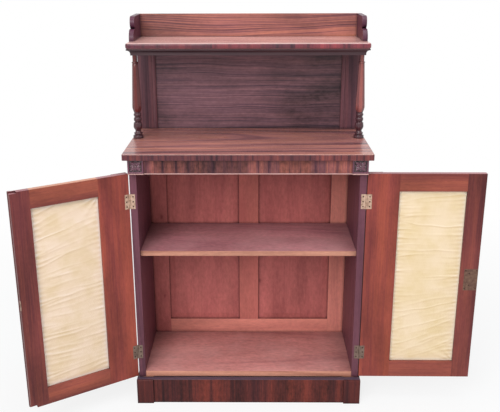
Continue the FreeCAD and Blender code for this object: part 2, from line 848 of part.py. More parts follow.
def cavetto_profile(outer, inward):
    """Return the section of the shelf's under-moulding, from its outer edge inward."""
    lip = outer + S.moulding_inset * inward
    foot = lip + S.cavetto_radius * inward
    inner = outer + S.moulding_width * inward
    arc_foot = moulding_foot + S.moulding_fillet
    points = [
        To(inner, moulding_foot),
        To(inner, shelf_foot),
        To(lip, shelf_foot),
        To(lip, arc_foot + S.cavetto_radius),
        To(foot, arc_foot, S.cavetto_radius, -1 * inward),
        To(foot, moulding_foot),
    ]
    return points


def mitre_tool(name, side, behind):
    """Return a square prism set to 45 degrees, one face of it along a front corner's mitre."""
    reach = S.moulding_width * 3
    back_along = S.moulding_width / 2 / math.sqrt(2)
    before = as_size(0) if behind else reach / math.sqrt(2)
    tool = doc.addObject("Part::Box", name)
    tool.Placement.Rotation = FreeCAD.Rotation(FreeCAD.Vector(0, 0, 1), 45)
    bind(tool, "Length", reach)
    bind(tool, "Width", reach)
    bind(tool, "Height", S.moulding_height + 2 * OVERCUT)
    bind(tool, "Placement.Base.x", (half_shelf + back_along - before) * side)
    bind(tool, "Placement.Base.y", shelf_front - back_along - before)
    bind(tool, "Placement.Base.z", moulding_foot - OVERCUT)
    return tool


def make_moulding():
    """Make the mitred cavetto under the shelf: a front length and two returns."""
    front = extruded("moulding_front_length", "YZ", cavetto_profile(shelf_front, 1),
                     -half_shelf, half_shelf)
    strips = [cut_from("moulding_front", front, [
        mitre_tool("moulding_front_mitre_left", LEFT, True),
        mitre_tool("moulding_front_mitre_right", RIGHT, True),
    ])]
    for side in (LEFT, RIGHT):
        name = "moulding_return_" + SIDE_NAMES[side]
        length = extruded(name + "_length", "XZ", cavetto_profile(half_shelf * side, -side),
                          shelf_front, upper_back_face)
        socket = rod(name + "_socket", S.column_tenon_radius, S.column_tenon,
                     column_x * side, column_y, moulding_foot)
        strips.append(cut_from(name, length, [mitre_tool(name + "_mitre", side, False), socket]))
    return grouped("upper_shelf_moulding", strips)


def turned_outline():
    """Return the column's turned half profile: base, vase, two rings, a core, a head ring and a collar."""
    neck = S.column_neck_radius
    tenon = S.column_tenon_radius
    steps = [
        (as_size(0), -S.column_tenon),
        (tenon, -S.column_tenon),
        (tenon, as_size(0)),
        (S.column_base_radius, as_size(0)),
        (S.column_base_radius, S.column_base),
        (neck, S.column_waist_level),
        (S.column_vase_radius, S.column_vase_level),
        (S.column_vase_lip_radius, S.column_vase_head),
        (S.column_groove_radius, S.column_vase_head),
    ]
    for level in (S.column_lower_ring_level, S.column_upper_ring_level):
        half = S.column_ring / 2
        steps += [
            (S.column_groove_radius, level - half),
            (S.column_ring_radius, level - half),
            (S.column_ring_radius, level + half),
            (S.column_groove_radius, level + half),
        ]
    steps += [
        (S.column_groove_radius, shaft_base),
        (neck, shaft_base),
        (neck, shaft_head),
        (S.column_head_ring_radius, shaft_head),
        (S.column_head_ring_radius, shaft_head + S.column_head_ring),
        (S.column_collar_radius, shaft_head + S.column_head_ring),
        (S.column_collar_radius, column_height),
        (tenon, column_height),
        (tenon, column_height + S.column_tenon),
        (as_size(0), column_height + S.column_tenon),
    ]
    return [To(radius, level) for radius, level in steps]


def make_column(side):
    """Turn a column and set an eight-sided swelling shaft round its core."""
    name = "column_" + SIDE_NAMES[side]
    turned = doc.addObject("PartDesign::Body", name + "_turning")
    sketch = drawn(turned, name + "_profile", "XZ", turned_outline())
    revolution = turned.newObject("PartDesign::Revolution", name + "_revolution")
    revolution.Profile = sketch
    revolution.ReferenceAxis = (sketch, ["V_Axis"])
    revolution.Angle = FULL_TURN
    turned.Tip = revolution
    rings = []
    for index, (level, radius) in enumerate((
            (shaft_base, S.shaft_base_radius),
            (shaft_swell, S.shaft_swell_radius),
            (shaft_head, S.shaft_head_radius))):
        polygon = doc.addObject("Part::RegularPolygon", f"{name}_octagon_{index}")
        bind(polygon, "Polygon", S.shaft_facets)
        bind(polygon, "Circumradius", radius)
        turn = as_size(HALF_TURN) / S.shaft_facets
        polygon.Placement.Rotation = FreeCAD.Rotation(FreeCAD.Vector(0, 0, 1), turn.value)
        bind(polygon, "Placement.Rotation.Angle", turn)
        bind(polygon, "Placement.Base.z", level)
        rings.append(polygon)
    shaft = doc.addObject("Part::Loft", name + "_shaft")
    shaft.Sections = rings
    shaft.Solid = True
    shaft.Ruled = True
    column = joined(name, [turned, shaft])
    bind(column, "Placement.Base.x", column_x * side)
    bind(column, "Placement.Base.y", column_y)
    bind(column, "Placement.Base.z", S.top_height)
    return column


def make_gallery():
    back_front = top_back - S.gallery_back_thickness
    housed = gallery_inner + S.housing_depth
    high = (shelf_top, shelf_top + S.gallery_height)
    pieces = [board("gallery_back", (-housed, housed), (back_front, top_back), high)]
    foot = top_back - S.gallery_end_length
    tip = foot + S.upper_lobe_reach
    tip_level = high[1] - S.upper_lobe_radius
    ledge = shelf_top + S.lower_lobe_height
    pinch = S.upper_lobe_pinch
    drop = tip_level - ledge
    return_radius = (pinch * pinch + drop * drop) / (pinch * 2)
    outline = [
        To(top_back, high[0]),
        To(top_back, high[1]),
        To(tip + S.upper_lobe_radius, high[1]),
        To(tip, tip_level, S.upper_lobe_radius, 1),
        To(tip + pinch, ledge, return_radius, 1),
        To(foot + S.lower_lobe_radius, ledge),
        To(foot, ledge - S.lower_lobe_radius, S.lower_lobe_radius, 1),
        To(foot, high[0]),
    ]
    for side in (LEFT, RIGHT):
        name = "gallery_end_" + SIDE_NAMES[side]
        wide = across(side, gallery_inner, gallery_outer)
        stock = extruded(name + "_stock", "YZ", outline, wide[0], wide[1])
        housing = board(name + "_housing", across(side, gallery_inner - OVERCUT, housed),
                        (back_front, top_back + OVERCUT), (high[0] - OVERCUT, high[1] + OVERCUT))
        pieces.append(cut_from(name, stock, [housing]))
    return pieces


# ---- hinges ----
def leaf_span(kind):
    """Return the front and back of a leaf: the side's leaf is behind the axis, the door's before it."""
    if kind == "side":
        return carcase_front - S.leaf_proud, carcase_front - S.leaf_proud + S.leaf_thickness
    return door_inside + S.leaf_proud - S.leaf_thickness, door_inside + S.leaf_proud


def hinge_gains(side, kind):
    """Return what is cut from the wood for both hinges: leaf gains and knuckle coves."""
    name = f"{kind}_{SIDE_NAMES[side]}"
    low, high = leaf_span(kind)
    deep = (low - OVERCUT, high) if kind == "side" else (low, high + OVERCUT)
    tools = []
    for place, middle in enumerate(hinge_middles):
        levels = (middle - S.hinge_height / 2, middle + S.hinge_height / 2)
        tools.append(board(f"{name}_gain_{place}", across(side, hinge_x - S.leaf_reach, hinge_x + OVERCUT),
                           deep, levels))
        tools.append(rod(f"{name}_cove_{place}", S.knuckle_radius + S.knuckle_clearance, S.hinge_height,
                         hinge_x * side, hinge_y, levels[0]))
    return tools


def make_leaves(side, kind):
    """Make the two leaves on one side, each a plate with its share of the knuckles.

    The leaf on the carcase keeps the pin, and the door's leaf is bored to turn on it.
    """
    name = f"{kind}_leaf_{SIDE_NAMES[side]}"
    low, high = leaf_span(kind)
    knuckle_height = S.hinge_height / KNUCKLES
    own = range(0, KNUCKLES, 2) if kind == "side" else range(1, KNUCKLES, 2)
    leaves = []
    for place, middle in enumerate(hinge_middles):
        label = f"{name}_{place}"
        foot = middle - S.hinge_height / 2
        barrel_edge = hinge_x - S.knuckle_radius - S.knuckle_clearance
        plate = board(label + "_plate", across(side, hinge_x - S.leaf_reach, barrel_edge), (low, high),
                      (foot, foot + S.hinge_height))
        solids = [plate]
        for number in own:
            start = foot + knuckle_height * number
            end = start + knuckle_height
            start = start + S.knuckle_gap / 2 if number > 0 else start
            end = end - S.knuckle_gap / 2 if number < KNUCKLES - 1 else end
            solids.append(rod(f"{label}_knuckle_{number}", S.knuckle_radius, end - start,
                              hinge_x * side, hinge_y, start))
            web_wide = across(side, barrel_edge - S.leaf_thickness, hinge_x)
            solids.append(board(f"{label}_web_{number}", web_wide, (low, high), (start, end)))
        pin_radius = S.pin_radius if kind == "side" else S.pin_radius + S.pin_clearance
        pin = rod(label + "_pin", pin_radius, S.hinge_height, hinge_x * side, hinge_y, foot)
        if kind == "side":
            leaves.append(joined(label, solids + [pin]))
        else:
            leaves.append(cut_from(label, joined(label + "_whole", solids), [pin]))
    return leaves


def make_fixed_hinges():
    """Make everything of the hinges that stays with the carcase."""
    leaves = [leaf for side in (LEFT, RIGHT) for leaf in make_leaves(side, "side")]
    return [grouped("hinge_leaves_carcase", leaves)]


# ---- doors ----
def rebate_box(name, side):
    """Return the rebate round a door's opening, cut from its outer face."""
    wide = across(side, meeting_stile_edge - S.rebate_width, hinge_stile_edge + S.rebate_width)
    return board(name, wide, (door_outside - OVERCUT, silk_plane),
                 (opening_foot - S.rebate_width, opening_head + S.rebate_width))


def door_tenon_span():
    """Return the front and back of the door's tenons, which lie behind the rebate."""
    front = silk_plane + S.door_tenon_setback
    return front, front + S.door_tenon_thickness


def door_rails():
    return {"bottom": (door_foot, opening_foot), "top": (opening_head, door_head)}


def door_mortises(name, side, inner, outer):
    """Return the mortises of one stile; inner and outer bound their X from the middle."""
    return [
        board(f"{name}_mortise_{end}", across(side, inner, outer), door_tenon_span(),
              (low + S.tenon_shoulder, high - S.tenon_shoulder))
        for end, (low, high) in door_rails().items()
    ]


def make_door(side):
    """Make one door of stiles and rails round a silk panel, closed and then swung open."""
    tag = SIDE_NAMES[side]
    deep = (door_outside, door_inside)
    high = (door_foot, door_head)
    hinge_name = f"door_{tag}_hinge_stile"
    stock = board(hinge_name + "_stock", across(side, hinge_stile_edge, half_carcase), deep, high)
    tools = [rebate_box(hinge_name + "_rebate", side)]
    tools += door_mortises(hinge_name, side, hinge_stile_edge - OVERCUT, hinge_stile_edge + S.door_tenon)
    tools += hinge_gains(side, "door")
    pieces = [cut_from(hinge_name, stock, tools, side)]

    meeting_name = f"door_{tag}_meeting_stile"
    stock = board(meeting_name + "_stock", across(side, meeting_edge, meeting_stile_edge), deep, high)
    tools = [rebate_box(meeting_name + "_rebate", side)]
    tools += door_mortises(meeting_name, side, meeting_stile_edge - S.door_tenon,
                           meeting_stile_edge + OVERCUT)
    tools += lock_recess() if side == RIGHT else strike_recess() + bolt_notches()
    pieces.append(cut_from(meeting_name, stock, tools, side))

    for end, (low, top) in door_rails().items():
        name = f"door_{tag}_{end}_rail"
        stock = board(name + "_stock", across(side, meeting_stile_edge, hinge_stile_edge), deep, (low, top))
        tenon = board(name + "_tenon",
                      across(side, meeting_stile_edge - S.door_tenon, hinge_stile_edge + S.door_tenon),
                      door_tenon_span(), (low + S.tenon_shoulder, top - S.tenon_shoulder))
        rail = joined(name + "_tenoned", [stock, tenon])
        pieces.append(cut_from(name, rail, [rebate_box(name + "_rebate", side)], side))

    inset = S.rebate_width - S.soft_gap
    silk_wide = across(side, meeting_stile_edge - inset, hinge_stile_edge + inset)
    silk_deep = (silk_plane - S.soft_gap - S.silk_thickness, silk_plane - S.soft_gap)
    silk_high = (opening_foot - inset, opening_head + inset)
    pieces.append(board(f"door_{tag}_silk", silk_wide, silk_deep, silk_high, side))
    pieces.append(make_sight_moulding(side, silk_deep[0] - S.soft_gap))
    pieces.append(board(f"door_{tag}_pilaster", across(side, half_carcase - S.block_width, half_carcase),
                        (door_outside - S.pilaster_thickness, door_outside), high, side))
    pieces.append(grouped(f"door_{tag}_hinge_leaves", make_leaves(side, "door"), side))
    return pieces


def mitred_strip(name, length, turn, x, back, z, thickness):
    """Make one bevelled, mitred strip of a sight moulding, turned in the door's plane."""
    width = S.rebate_width + S.sight_lap
    strip = doc.addObject("Part::Wedge", name)
    section = {
        "Xmin": 0, "Xmax": length, "X2min": width, "X2max": length - width,
        "Ymin": 0, "Ymax": width,
        "Zmin": 0, "Zmax": thickness, "Z2min": 0, "Z2max": thickness - S.sight_bevel,
    }
    for path, size in section.items():
        bind(strip, path, size)
    upright = FreeCAD.Rotation(FreeCAD.Vector(1, 0, 0), 90)
    strip.Placement.Rotation = FreeCAD.Rotation(FreeCAD.Vector(0, 1, 0), turn).multiply(upright)
    bind(strip, "Placement.Base.x", x)
    bind(strip, "Placement.Base.y", back)
    bind(strip, "Placement.Base.z", z)
    return strip


def make_sight_moulding(side, back):
    """Make the four mitred strips that hold the silk in its rebate."""
    name = f"door_{SIDE_NAMES[side]}_sight_moulding"
    thickness = back - door_outside + S.sight_proud
    wide = across(side, meeting_stile_edge - S.rebate_width, hinge_stile_edge + S.rebate_width)
    high = (opening_foot - S.rebate_width, opening_head + S.rebate_width)
    width = wide[1] - wide[0]
    height = high[1] - high[0]
    strips = [
        mitred_strip(name + "_bottom", width, 0, wide[0], back, high[0], thickness),
        mitred_strip(name + "_right", height, -90, wide[1], back, high[0], thickness),
        mitred_strip(name + "_top", width, 180, wide[1], back, high[1], thickness),
        mitred_strip(name + "_left", height, 90, wide[0], back, high[1], thickness),
    ]
    return grouped(name, strips, side)


def make_astragal():
    """Make the half-round bead on the left door that covers the gap between the doors."""
    inner = -meeting_edge - S.astragal_land
    outer = -meeting_edge + S.astragal_lap
    outline = [
        To(inner, door_outside, S.astragal_radius, -1),
        To(outer, door_outside),
    ]
    return extruded("door_left_astragal", "XY", outline, door_foot, door_head, LEFT)


# ---- lock, bolt and strike ----
def lock_levels(height):
    return S.lock_middle - height / 2, S.lock_middle + height / 2


def bolt_deep(slack):
    middle = door_inside - S.lock_depth / 2 - S.lock_plate / 2
    return middle - S.bolt_thickness / 2 - slack, middle + S.bolt_thickness / 2 + slack


def lock_body_span():
    """Return the X, Y and Z extents of the lock's case behind its plate."""
    wide = (meeting_edge + S.lock_plate, meeting_edge + S.lock_width - S.lock_margin)
    deep = (door_inside - S.lock_depth, door_inside - S.lock_plate)
    return wide, deep, lock_levels(S.lock_height - 2 * S.lock_margin)


def lock_plates(name):
    """Return the lock's back plate and the plate on the door's edge."""
    levels = lock_levels(S.lock_height)
    back_plate = board(name + "_back_plate", (meeting_edge, meeting_edge + S.lock_width),
                       (door_inside - S.lock_plate, door_inside), levels)
    edge_plate = board(name + "_edge_plate", (meeting_edge, meeting_edge + S.lock_plate),
                       (door_inside - S.lock_depth, door_inside), levels)
    return [back_plate, edge_plate]


def key_hole(name, radius, low, high):
    return rod(name, radius, high - low, meeting_edge + S.key_inset, low, S.lock_middle - S.key_drop, "Y")


def lock_recess():
    wide, deep, high = lock_body_span()
    body_room = board("lock_room", wide, deep, high)
    liner_room = key_hole("liner_room", S.liner_radius, door_outside - OVERCUT,
                          door_outside + S.liner_length)
    key_room = key_hole("key_room", S.key_radius, door_outside, door_inside - S.lock_depth)
    return lock_plates("lock_room") + [body_room, liner_room, key_room]


def make_lock():
    """Make the lock's case, its sliding bolt and the keyhole's liner."""
    wide, deep, high = lock_body_span()
    case = joined("lock_case_blank", lock_plates("lock_case") + [board("lock_case_body", wide, deep, high)])
    slack = S.bolt_clearance
    channel_high = lock_levels(S.bolt_height + 2 * slack)
    channel = board("lock_channel", (meeting_edge - OVERCUT, meeting_edge + S.bolt_length + slack),
                    bolt_deep(slack), channel_high)
    keyway = key_hole("lock_keyway", S.key_radius, deep[0] - OVERCUT, deep[1])
    lock_case = cut_from("lock_case", case, [channel, keyway], RIGHT)
    bolt = board("lock_bolt", (meeting_edge, meeting_edge + S.bolt_length), bolt_deep(as_size(0)),
                 lock_levels(S.bolt_height), RIGHT)
    liner_stock = key_hole("liner_stock", S.liner_radius, door_outside, door_outside + S.liner_length)
    liner_bore = key_hole("liner_bore", S.key_radius, door_outside - OVERCUT, door_outside + OVERCUT)
    return [lock_case, bolt, cut_from("keyhole_liner", liner_stock, [liner_bore], RIGHT)]


def strike_levels():
    return lock_levels(S.strike_height)


def bolt_room(name, x_from, x_to):
    slack = S.strike_clearance
    return board(name, (x_from, x_to), bolt_deep(slack), lock_levels(S.bolt_height + 2 * slack))


def strike_recess():
    """Return what the left door's edge loses for the strike plate and the bolt."""
    plate = board("strike_room", (-meeting_edge - S.lock_plate, -meeting_edge + OVERCUT),
                  (door_inside - S.lock_depth, door_inside + OVERCUT), strike_levels())
    return [plate, bolt_room("strike_mortise", -meeting_edge - S.strike_depth, -meeting_edge)]


def make_strike():
    plate = board("strike_stock", (-meeting_edge - S.lock_plate, -meeting_edge),
                  (door_inside - S.lock_depth, door_inside), strike_levels())
    return cut_from("strike_plate", plate,
                    [bolt_room("strike_hole", -meeting_edge - OVERCUT, -meeting_edge + OVERCUT)], LEFT)


def bolt_notches():
    """Return the open notches at the head and foot of the left door's meeting stile."""
    wide = (-meeting_edge - S.notch_width, -meeting_edge + OVERCUT)
    deep = (door_inside - S.notch_depth, door_inside + OVERCUT)
    return [
        board("head_notch", wide, deep, (door_head - S.top_notch, door_head + OVERCUT)),
        board("foot_notch", wide, deep, (door_foot - OVERCUT, door_foot + S.bottom_notch)),
    ]


def make_all():
    """Make every piece of the chiffonier and return those that are written out."""
    pieces = [make_side(LEFT), make_side(RIGHT)]
    pieces += make_inner_boards()
    pieces += make_frieze()
    pieces += make_back()
    pieces += make_plinth()
    pieces.append(make_top())
    pieces += make_upper_back()
    pieces.append(make_upper_shelf())
    pieces.append(make_moulding())
    pieces += [make_column(LEFT), make_column(RIGHT)]
    pieces += make_gallery()
    pieces += make_fixed_hinges()
    pieces += make_door(LEFT)
    pieces += [make_astragal(), make_strike()]
    pieces += make_door(RIGHT)
    pieces += make_lock()
    return pieces


def write_out(pieces):
    """Check every object and write each piece to its own STEP file."""
    doc.recompute()
    for obj in doc.Objects:
        if "Invalid" in obj.State or "Error" in obj.State:
            raise RuntimeError(f"{obj.Name} is not valid: {obj.State}")
    for piece in pieces:
        if piece.Shape.isNull() or not piece.Shape.isValid():
            raise RuntimeError(f"{piece.Label} has no valid shape")
        piece.Shape.exportStep(f"parts/{piece.Label}.step")


write_out(make_all())
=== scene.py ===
"""Dress a rosewood chiffonier whose two silk-panelled doors stand open.

X runs right, Y back and Z up, in metres, from a point under the middle of the front plinth board.
Each sub-assembly is a class that dresses its own boards and adds the pieces that a carver, a
turner, an upholsterer or a locksmith would have made for it.
"""
import json
import logging
import math
from dataclasses import dataclass, replace
from enum import Enum
from typing import Iterable, Sequence

import bmesh
import bpy
import numpy as np
from mathutils import Matrix, Vector


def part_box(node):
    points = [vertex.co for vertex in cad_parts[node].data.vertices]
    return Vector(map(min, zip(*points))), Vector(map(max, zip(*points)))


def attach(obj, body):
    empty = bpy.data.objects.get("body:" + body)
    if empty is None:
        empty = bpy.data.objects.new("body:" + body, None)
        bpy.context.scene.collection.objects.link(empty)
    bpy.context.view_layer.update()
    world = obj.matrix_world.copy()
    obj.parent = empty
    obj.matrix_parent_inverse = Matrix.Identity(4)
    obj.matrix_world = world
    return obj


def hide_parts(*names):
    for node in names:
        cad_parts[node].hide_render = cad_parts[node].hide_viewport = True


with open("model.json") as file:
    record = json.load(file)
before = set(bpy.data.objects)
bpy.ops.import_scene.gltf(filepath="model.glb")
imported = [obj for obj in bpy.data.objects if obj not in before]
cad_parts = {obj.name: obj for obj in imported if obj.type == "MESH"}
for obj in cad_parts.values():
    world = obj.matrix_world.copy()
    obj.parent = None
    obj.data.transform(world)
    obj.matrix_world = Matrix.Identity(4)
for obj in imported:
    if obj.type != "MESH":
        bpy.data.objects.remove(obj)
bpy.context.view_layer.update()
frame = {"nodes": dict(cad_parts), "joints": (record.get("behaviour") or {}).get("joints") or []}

log = logging.getLogger("chiffonier")

Colour = tuple[float, float, float, float]
Point = tuple[float, float, float]
Tree = bpy.types.NodeTree
MM = 0.001
FULL_TURN = 2 * math.pi
ABOUT_A_TURN = 6.28
ORIGIN: Point = (0.0, 0.0, 0.0)
UNSET: Colour = (0.0, 0.0, 0.0, 0.0)
WHITE: Colour = (1.0, 1.0, 1.0, 1.0)


def paint(red: int, green: int, blue: int) -> Colour:
    """Turn a colour as it is seen, 0 to 255, into the linear colour that a shader takes.

    Args:
        red: seen red.
        green: seen green.
        blue: seen blue.

    Returns:
        Linear red, green, blue and an alpha of 1.
    """
    seen = np.array([red, green, blue]) / 255
    linear = np.where(seen <= 0.04045, seen / 12.92, ((seen + 0.055) / 1.055) ** 2.4)
    return (float(linear[0]), float(linear[1]), float(linear[2]), 1.0)


class Side(Enum):
    """The two sides of the chiffonier, as one faces it."""

    LEFT = -1
    RIGHT = 1

    @property
    def word(self) -> str:
        """Return the side's name as the nodes spell it."""
        return self.name.lower()


class Slot(Enum):
    """The record's material slots."""

    ROSEWOOD = "rosewood"
    SILK = "silk"
    BRASS = "brass"


class Way(tuple, Enum):
    """The ways that grain can run or a board can face."""

    ACROSS = (1.0, 0.0, 0.0)
    BACK = (0.0, 1.0, 0.0)
    FRONT = (0.0, -1.0, 0.0)
    UP = (0.0, 0.0, 1.0)


# ---- node trees ----
@dataclass(frozen=True)
class Flow:
    """What flows out of a node, with the usual signs of arithmetic."""

    bench: "Bench"
    socket: bpy.types.NodeSocket

    def __add__(self, other: "Flow | float") -> "Flow":
        """Return the sum."""
        return self.bench.maths("ADD", self, other)

    def __sub__(self, other: "Flow | float") -> "Flow":
        """Return the difference."""
        return self.bench.maths("SUBTRACT", self, other)

    def __rsub__(self, other: float) -> "Flow":
        """Return a number less this flow."""
        return self.bench.maths("SUBTRACT", other, self)

    def __mul__(self, other: "Flow | float") -> "Flow":
        """Return the product."""
        return self.bench.maths("MULTIPLY", self, other)

    def __truediv__(self, other: "Flow | float") -> "Flow":
        """Return the quotient."""
        return self.bench.maths("DIVIDE", self, other)

    def __rtruediv__(self, other: float) -> "Flow":
        """Return a number divided by this flow."""
        return self.bench.maths("DIVIDE", other, self)

    def __abs__(self) -> "Flow":
        """Return the size without its sign."""
        return self.bench.maths("ABSOLUTE", self)


class Bench:
    """Adds and joins the nodes of one node tree."""

    def __init__(self, tree: Tree) -> None:
        """Keep the tree to work on."""
        self.tree = tree

    def fill(self, node: bpy.types.Node, sockets: dict[str | int, object]) -> None:
        """Give a node its inputs.

        Args:
            node: the node.
            sockets: a flow to link or a value to set, for each input by name or number.
        """
        for key, value in sockets.items():
            if isinstance(value, Flow):
                self.tree.links.new(value.socket, node.inputs[key])
            else:
                node.inputs[key].default_value = value

    def add(self, kind: str, sockets: dict | None = None, **settings: object) -> bpy.types.Node:
        """Add a node.

        Args:
            kind: the node type's name after ShaderNode.
            sockets: what goes into each input, by name or number.
            settings: the node's own settings.

        Returns:
            The new node.
        """
        node = self.tree.nodes.new("ShaderNode" + kind)
        for name, value in settings.items():
            setattr(node, name, value)
        self.fill(node, sockets or {})
        return node

    def flow(self, kind: str, sockets: dict | None = None, out: str | int = 0, **settings: object) -> Flow:
        """Add a node and return one of its outputs.

        Args:
            kind: the node type's name after ShaderNode.
            sockets: what goes into each input, by name or number.
            out: the output's name or number.
            settings: the node's own settings.

        Returns:
            The output.
        """
        return Flow(self, self.add(kind, sockets, **settings).outputs[out])

    def group(self, tree: Tree, **sockets: object) -> dict[str, Flow]:
        """Use a node group.

        Args:
            tree: the group.
            sockets: what goes into each of its inputs.

        Returns:
            Its outputs by name.
        """
        outputs = self.add("Group", sockets, node_tree=tree).outputs
        return {socket.name: Flow(self, socket) for socket in outputs}

    def maths(self, operation: str, *values: object) -> Flow:
        """Work out one number from others, such as SINE or MAXIMUM."""
        return self.flow("Math", dict(enumerate(values)), operation=operation)

    def dot(self, first: object, second: object) -> Flow:
        """Return the dot product of two vectors."""
        return self.flow("VectorMath", {0: first, 1: second}, "Value", operation="DOT_PRODUCT")

    def remap(self, value: object, low: float, high: float, start: float = 0.0, end: float = 1.0) -> Flow:
        """Stretch a value from low..high to start..end and hold it there.

        Args:
            value: the number to stretch.
            low: value that becomes start.
            high: value that becomes end.
            start: result at low.
            end: result at high.

        Returns:
            The stretched value.
        """
        sockets = {"Value": value, "From Min": low, "From Max": high, "To Min": start, "To Max": end}
        return self.flow("MapRange", sockets, clamp=True)

    def noise(self, place: object, scale: float = 1.0, detail: float = 2.0, roughness: float = 0.5) -> Flow:
        """Return soft noise between 0 and 1 at a place.

        Args:
            place: where to read the noise.
            scale: how many lumps a unit holds.
            detail: how many finer layers lie on it.
            roughness: how strong the finer layers are.

        Returns:
            The noise value.
        """
        sockets = {"Vector": place, "Scale": scale, "Detail": detail, "Roughness": roughness}
        return self.flow("TexNoise", sockets)

    def blend(self, share: object, first: object, second: object, mode: str = "MIX") -> Flow:
        """Blend two colours.

        Args:
            share: how much of the second colour, 0 to 1.
            first: the colour below.
            second: the colour laid over it.
            mode: how it is laid, such as MIX or MULTIPLY.

        Returns:
            The blended colour.
        """
        colours = {0: share, 6: first, 7: second}
        return self.flow("Mix", colours, 2, data_type="RGBA", blend_type=mode)

    def point(self, x: object, y: object, z: object) -> Flow:
        """Return a vector made of three numbers."""
        return self.flow("CombineXYZ", {0: x, 1: y, 2: z})

    def split(self, vector: object) -> list[Flow]:
        """Return a vector's three numbers."""
        return [Flow(self, socket) for socket in self.add("SeparateXYZ", {0: vector}).outputs]

    def stretched(self, vector: object, *factors: object) -> Flow:
        """Return a vector with each of its three numbers multiplied by its own factor."""
        return self.point(*(part * factor for part, factor in zip(self.split(vector), factors)))


def start_group(name: str, **inputs: object) -> tuple[Bench, dict[str, Flow]]:
    """Begin a shader node group.

    Args:
        name: the group's name.
        inputs: default of each input by name; its length tells a number from a vector or colour.

    Returns:
        The bench for its tree and the inputs to read from.
    """
    bench = Bench(bpy.data.node_groups.new(name, "ShaderNodeTree"))
    for label, value in inputs.items():
        kind = {0: "Float", 3: "Vector", 4: "Color"}[len(value) if isinstance(value, tuple) else 0]
        socket = bench.tree.interface.new_socket(label, in_out="INPUT", socket_type="NodeSocket" + kind)
        socket.default_value = value
    given = bench.tree.nodes.new("NodeGroupInput").outputs
    return bench, {label: Flow(bench, given[label]) for label in inputs}


def end_group(bench: Bench, **outputs: Flow) -> Tree:
    """Finish a shader node group.

    Args:
        bench: the bench for its tree.
        outputs: what each output gives; all are numbers but colour, place and normal.

    Returns:
        The group.
    """
    kinds = {"colour": "Color", "place": "Vector", "normal": "Vector"}
    for label in outputs:
        kind = kinds.get(label, "Float")
        bench.tree.interface.new_socket(label, in_out="OUTPUT", socket_type="NodeSocket" + kind)
    bench.fill(bench.tree.nodes.new("NodeGroupOutput"), outputs)
    return bench.tree


def make_wood_group() -> Tree:
    """Build the figure of sawn wood on a place whose first number runs along the grain.

    The yearly rings are circles round a pith line that wanders and leans: ring radius = root of
    (across squared + deep squared). Veins are noise along that radius alone, so a flat board shows
    pointed arches and straight lines. Fibres and pores are noise drawn out along the grain.

    Returns:
        The group, with outputs colour, roughness and height.
    """
    bench, given = start_group("wood_figure", place=ORIGIN, dark=UNSET, body=UNSET, light=UNSET,
                               density=60.0, wander=0.05, fibres=250.0, veins=0.7, patches=0.2,
                               mottle=0.1, roughness=0.3)
    place, fibres = given["place"], given["fibres"]
    x, y, z = bench.split(place)
    bend = (bench.noise(bench.stretched(place, 1.3, 4.0, 4.0)) - 0.5) * given["wander"]
    across = y + bend
    deep = x * 0.045 + z + bend * 0.6
    radius = bench.maths("SQRT", across * across + deep * deep)
    ring_place = bench.point(radius * given["density"], x * 0.6, 0.0)
    rings = bench.noise(ring_place, detail=3.0, roughness=0.62)
    fibre = bench.noise(bench.stretched(place, 7.0, fibres, fibres), detail=3.0)
    fine = fibres * 5.0
    pores = bench.remap(bench.noise(bench.stretched(place, 45.0, fine, fine), detail=1.0), 0.6, 0.72)
    tone = bench.remap(fibre, 0.3, 0.7) * 0.4 + bench.remap(rings, 0.34, 0.62) * 0.6
    colour = bench.blend(tone, given["light"], given["body"])
    streak = bench.remap(rings, 0.53, 0.64) * given["veins"] * bench.remap(fibre, 0.25, 0.6, 0.5, 1.0)
    colour = bench.blend(streak, colour, given["dark"])
    colour = bench.blend(pores * 0.4, colour, given["dark"])
    cloud = bench.noise(bench.stretched(place, 3.0, 9.0, 9.0)) - 0.5
    curl = bench.noise(bench.stretched(place, 55.0, 110.0, 110.0), detail=3.0, roughness=0.6) - 0.5
    shade = (cloud * given["patches"] + curl * given["mottle"]) * 4.0 + 1.0
    colour = bench.blend(1.0, colour, bench.point(shade, shade, shade), "MULTIPLY")
    roughness = given["roughness"] + pores * 0.12 + cloud * 0.25
    return end_group(bench, colour=colour, roughness=roughness, height=fibre * 0.5 - pores)


def make_leaf_group() -> Tree:
    """Lay veneer leaves side by side, each the mirror of its neighbour.

    The number across the grain is folded to and fro over one leaf's width. Each pair of leaves is
    taken from another depth of the flitch, a hand's breadth from the pith, so its lines run straight.

    Returns:
        The group, with outputs place and tint, the leaf's own shade from 0 to 1.
    """
    bench, given = start_group("veneer_leaves", place=ORIGIN, width=0.08)
    x, y, z = bench.split(given["place"])
    folded = bench.maths("PINGPONG", y, given["width"])
    number = bench.maths("FLOOR", y / given["width"])
    pair = bench.maths("FLOOR", number * 0.5)
    tint, chance = (bench.flow("TexWhiteNoise", {"W": count}, noise_dimensions="1D")
                    for count in (number, pair))
    place = bench.point(chance * 0.7 + x, folded + (chance * 0.4 + 0.12), chance * 0.09 + z)
    return end_group(bench, place=place, tint=tint)


def make_arris_group() -> Tree:
    """Find edges for rubbed wear and painted edge highlights: mask = one minus the dot product of the
    rounded and the true normal.

    Returns:
        The group, with outputs mask and normal, the normal of the softened edge.
    """
    bench, given = start_group("rubbed_arris", radius=0.0012)
    rounded = bench.flow("Bevel", {"Radius": given["radius"]}, samples=4)
    turned = 1.0 - bench.dot(rounded, bench.flow("NewGeometry", out="True Normal"))
    return end_group(bench, mask=bench.remap(turned, 0.03, 0.3), normal=rounded)


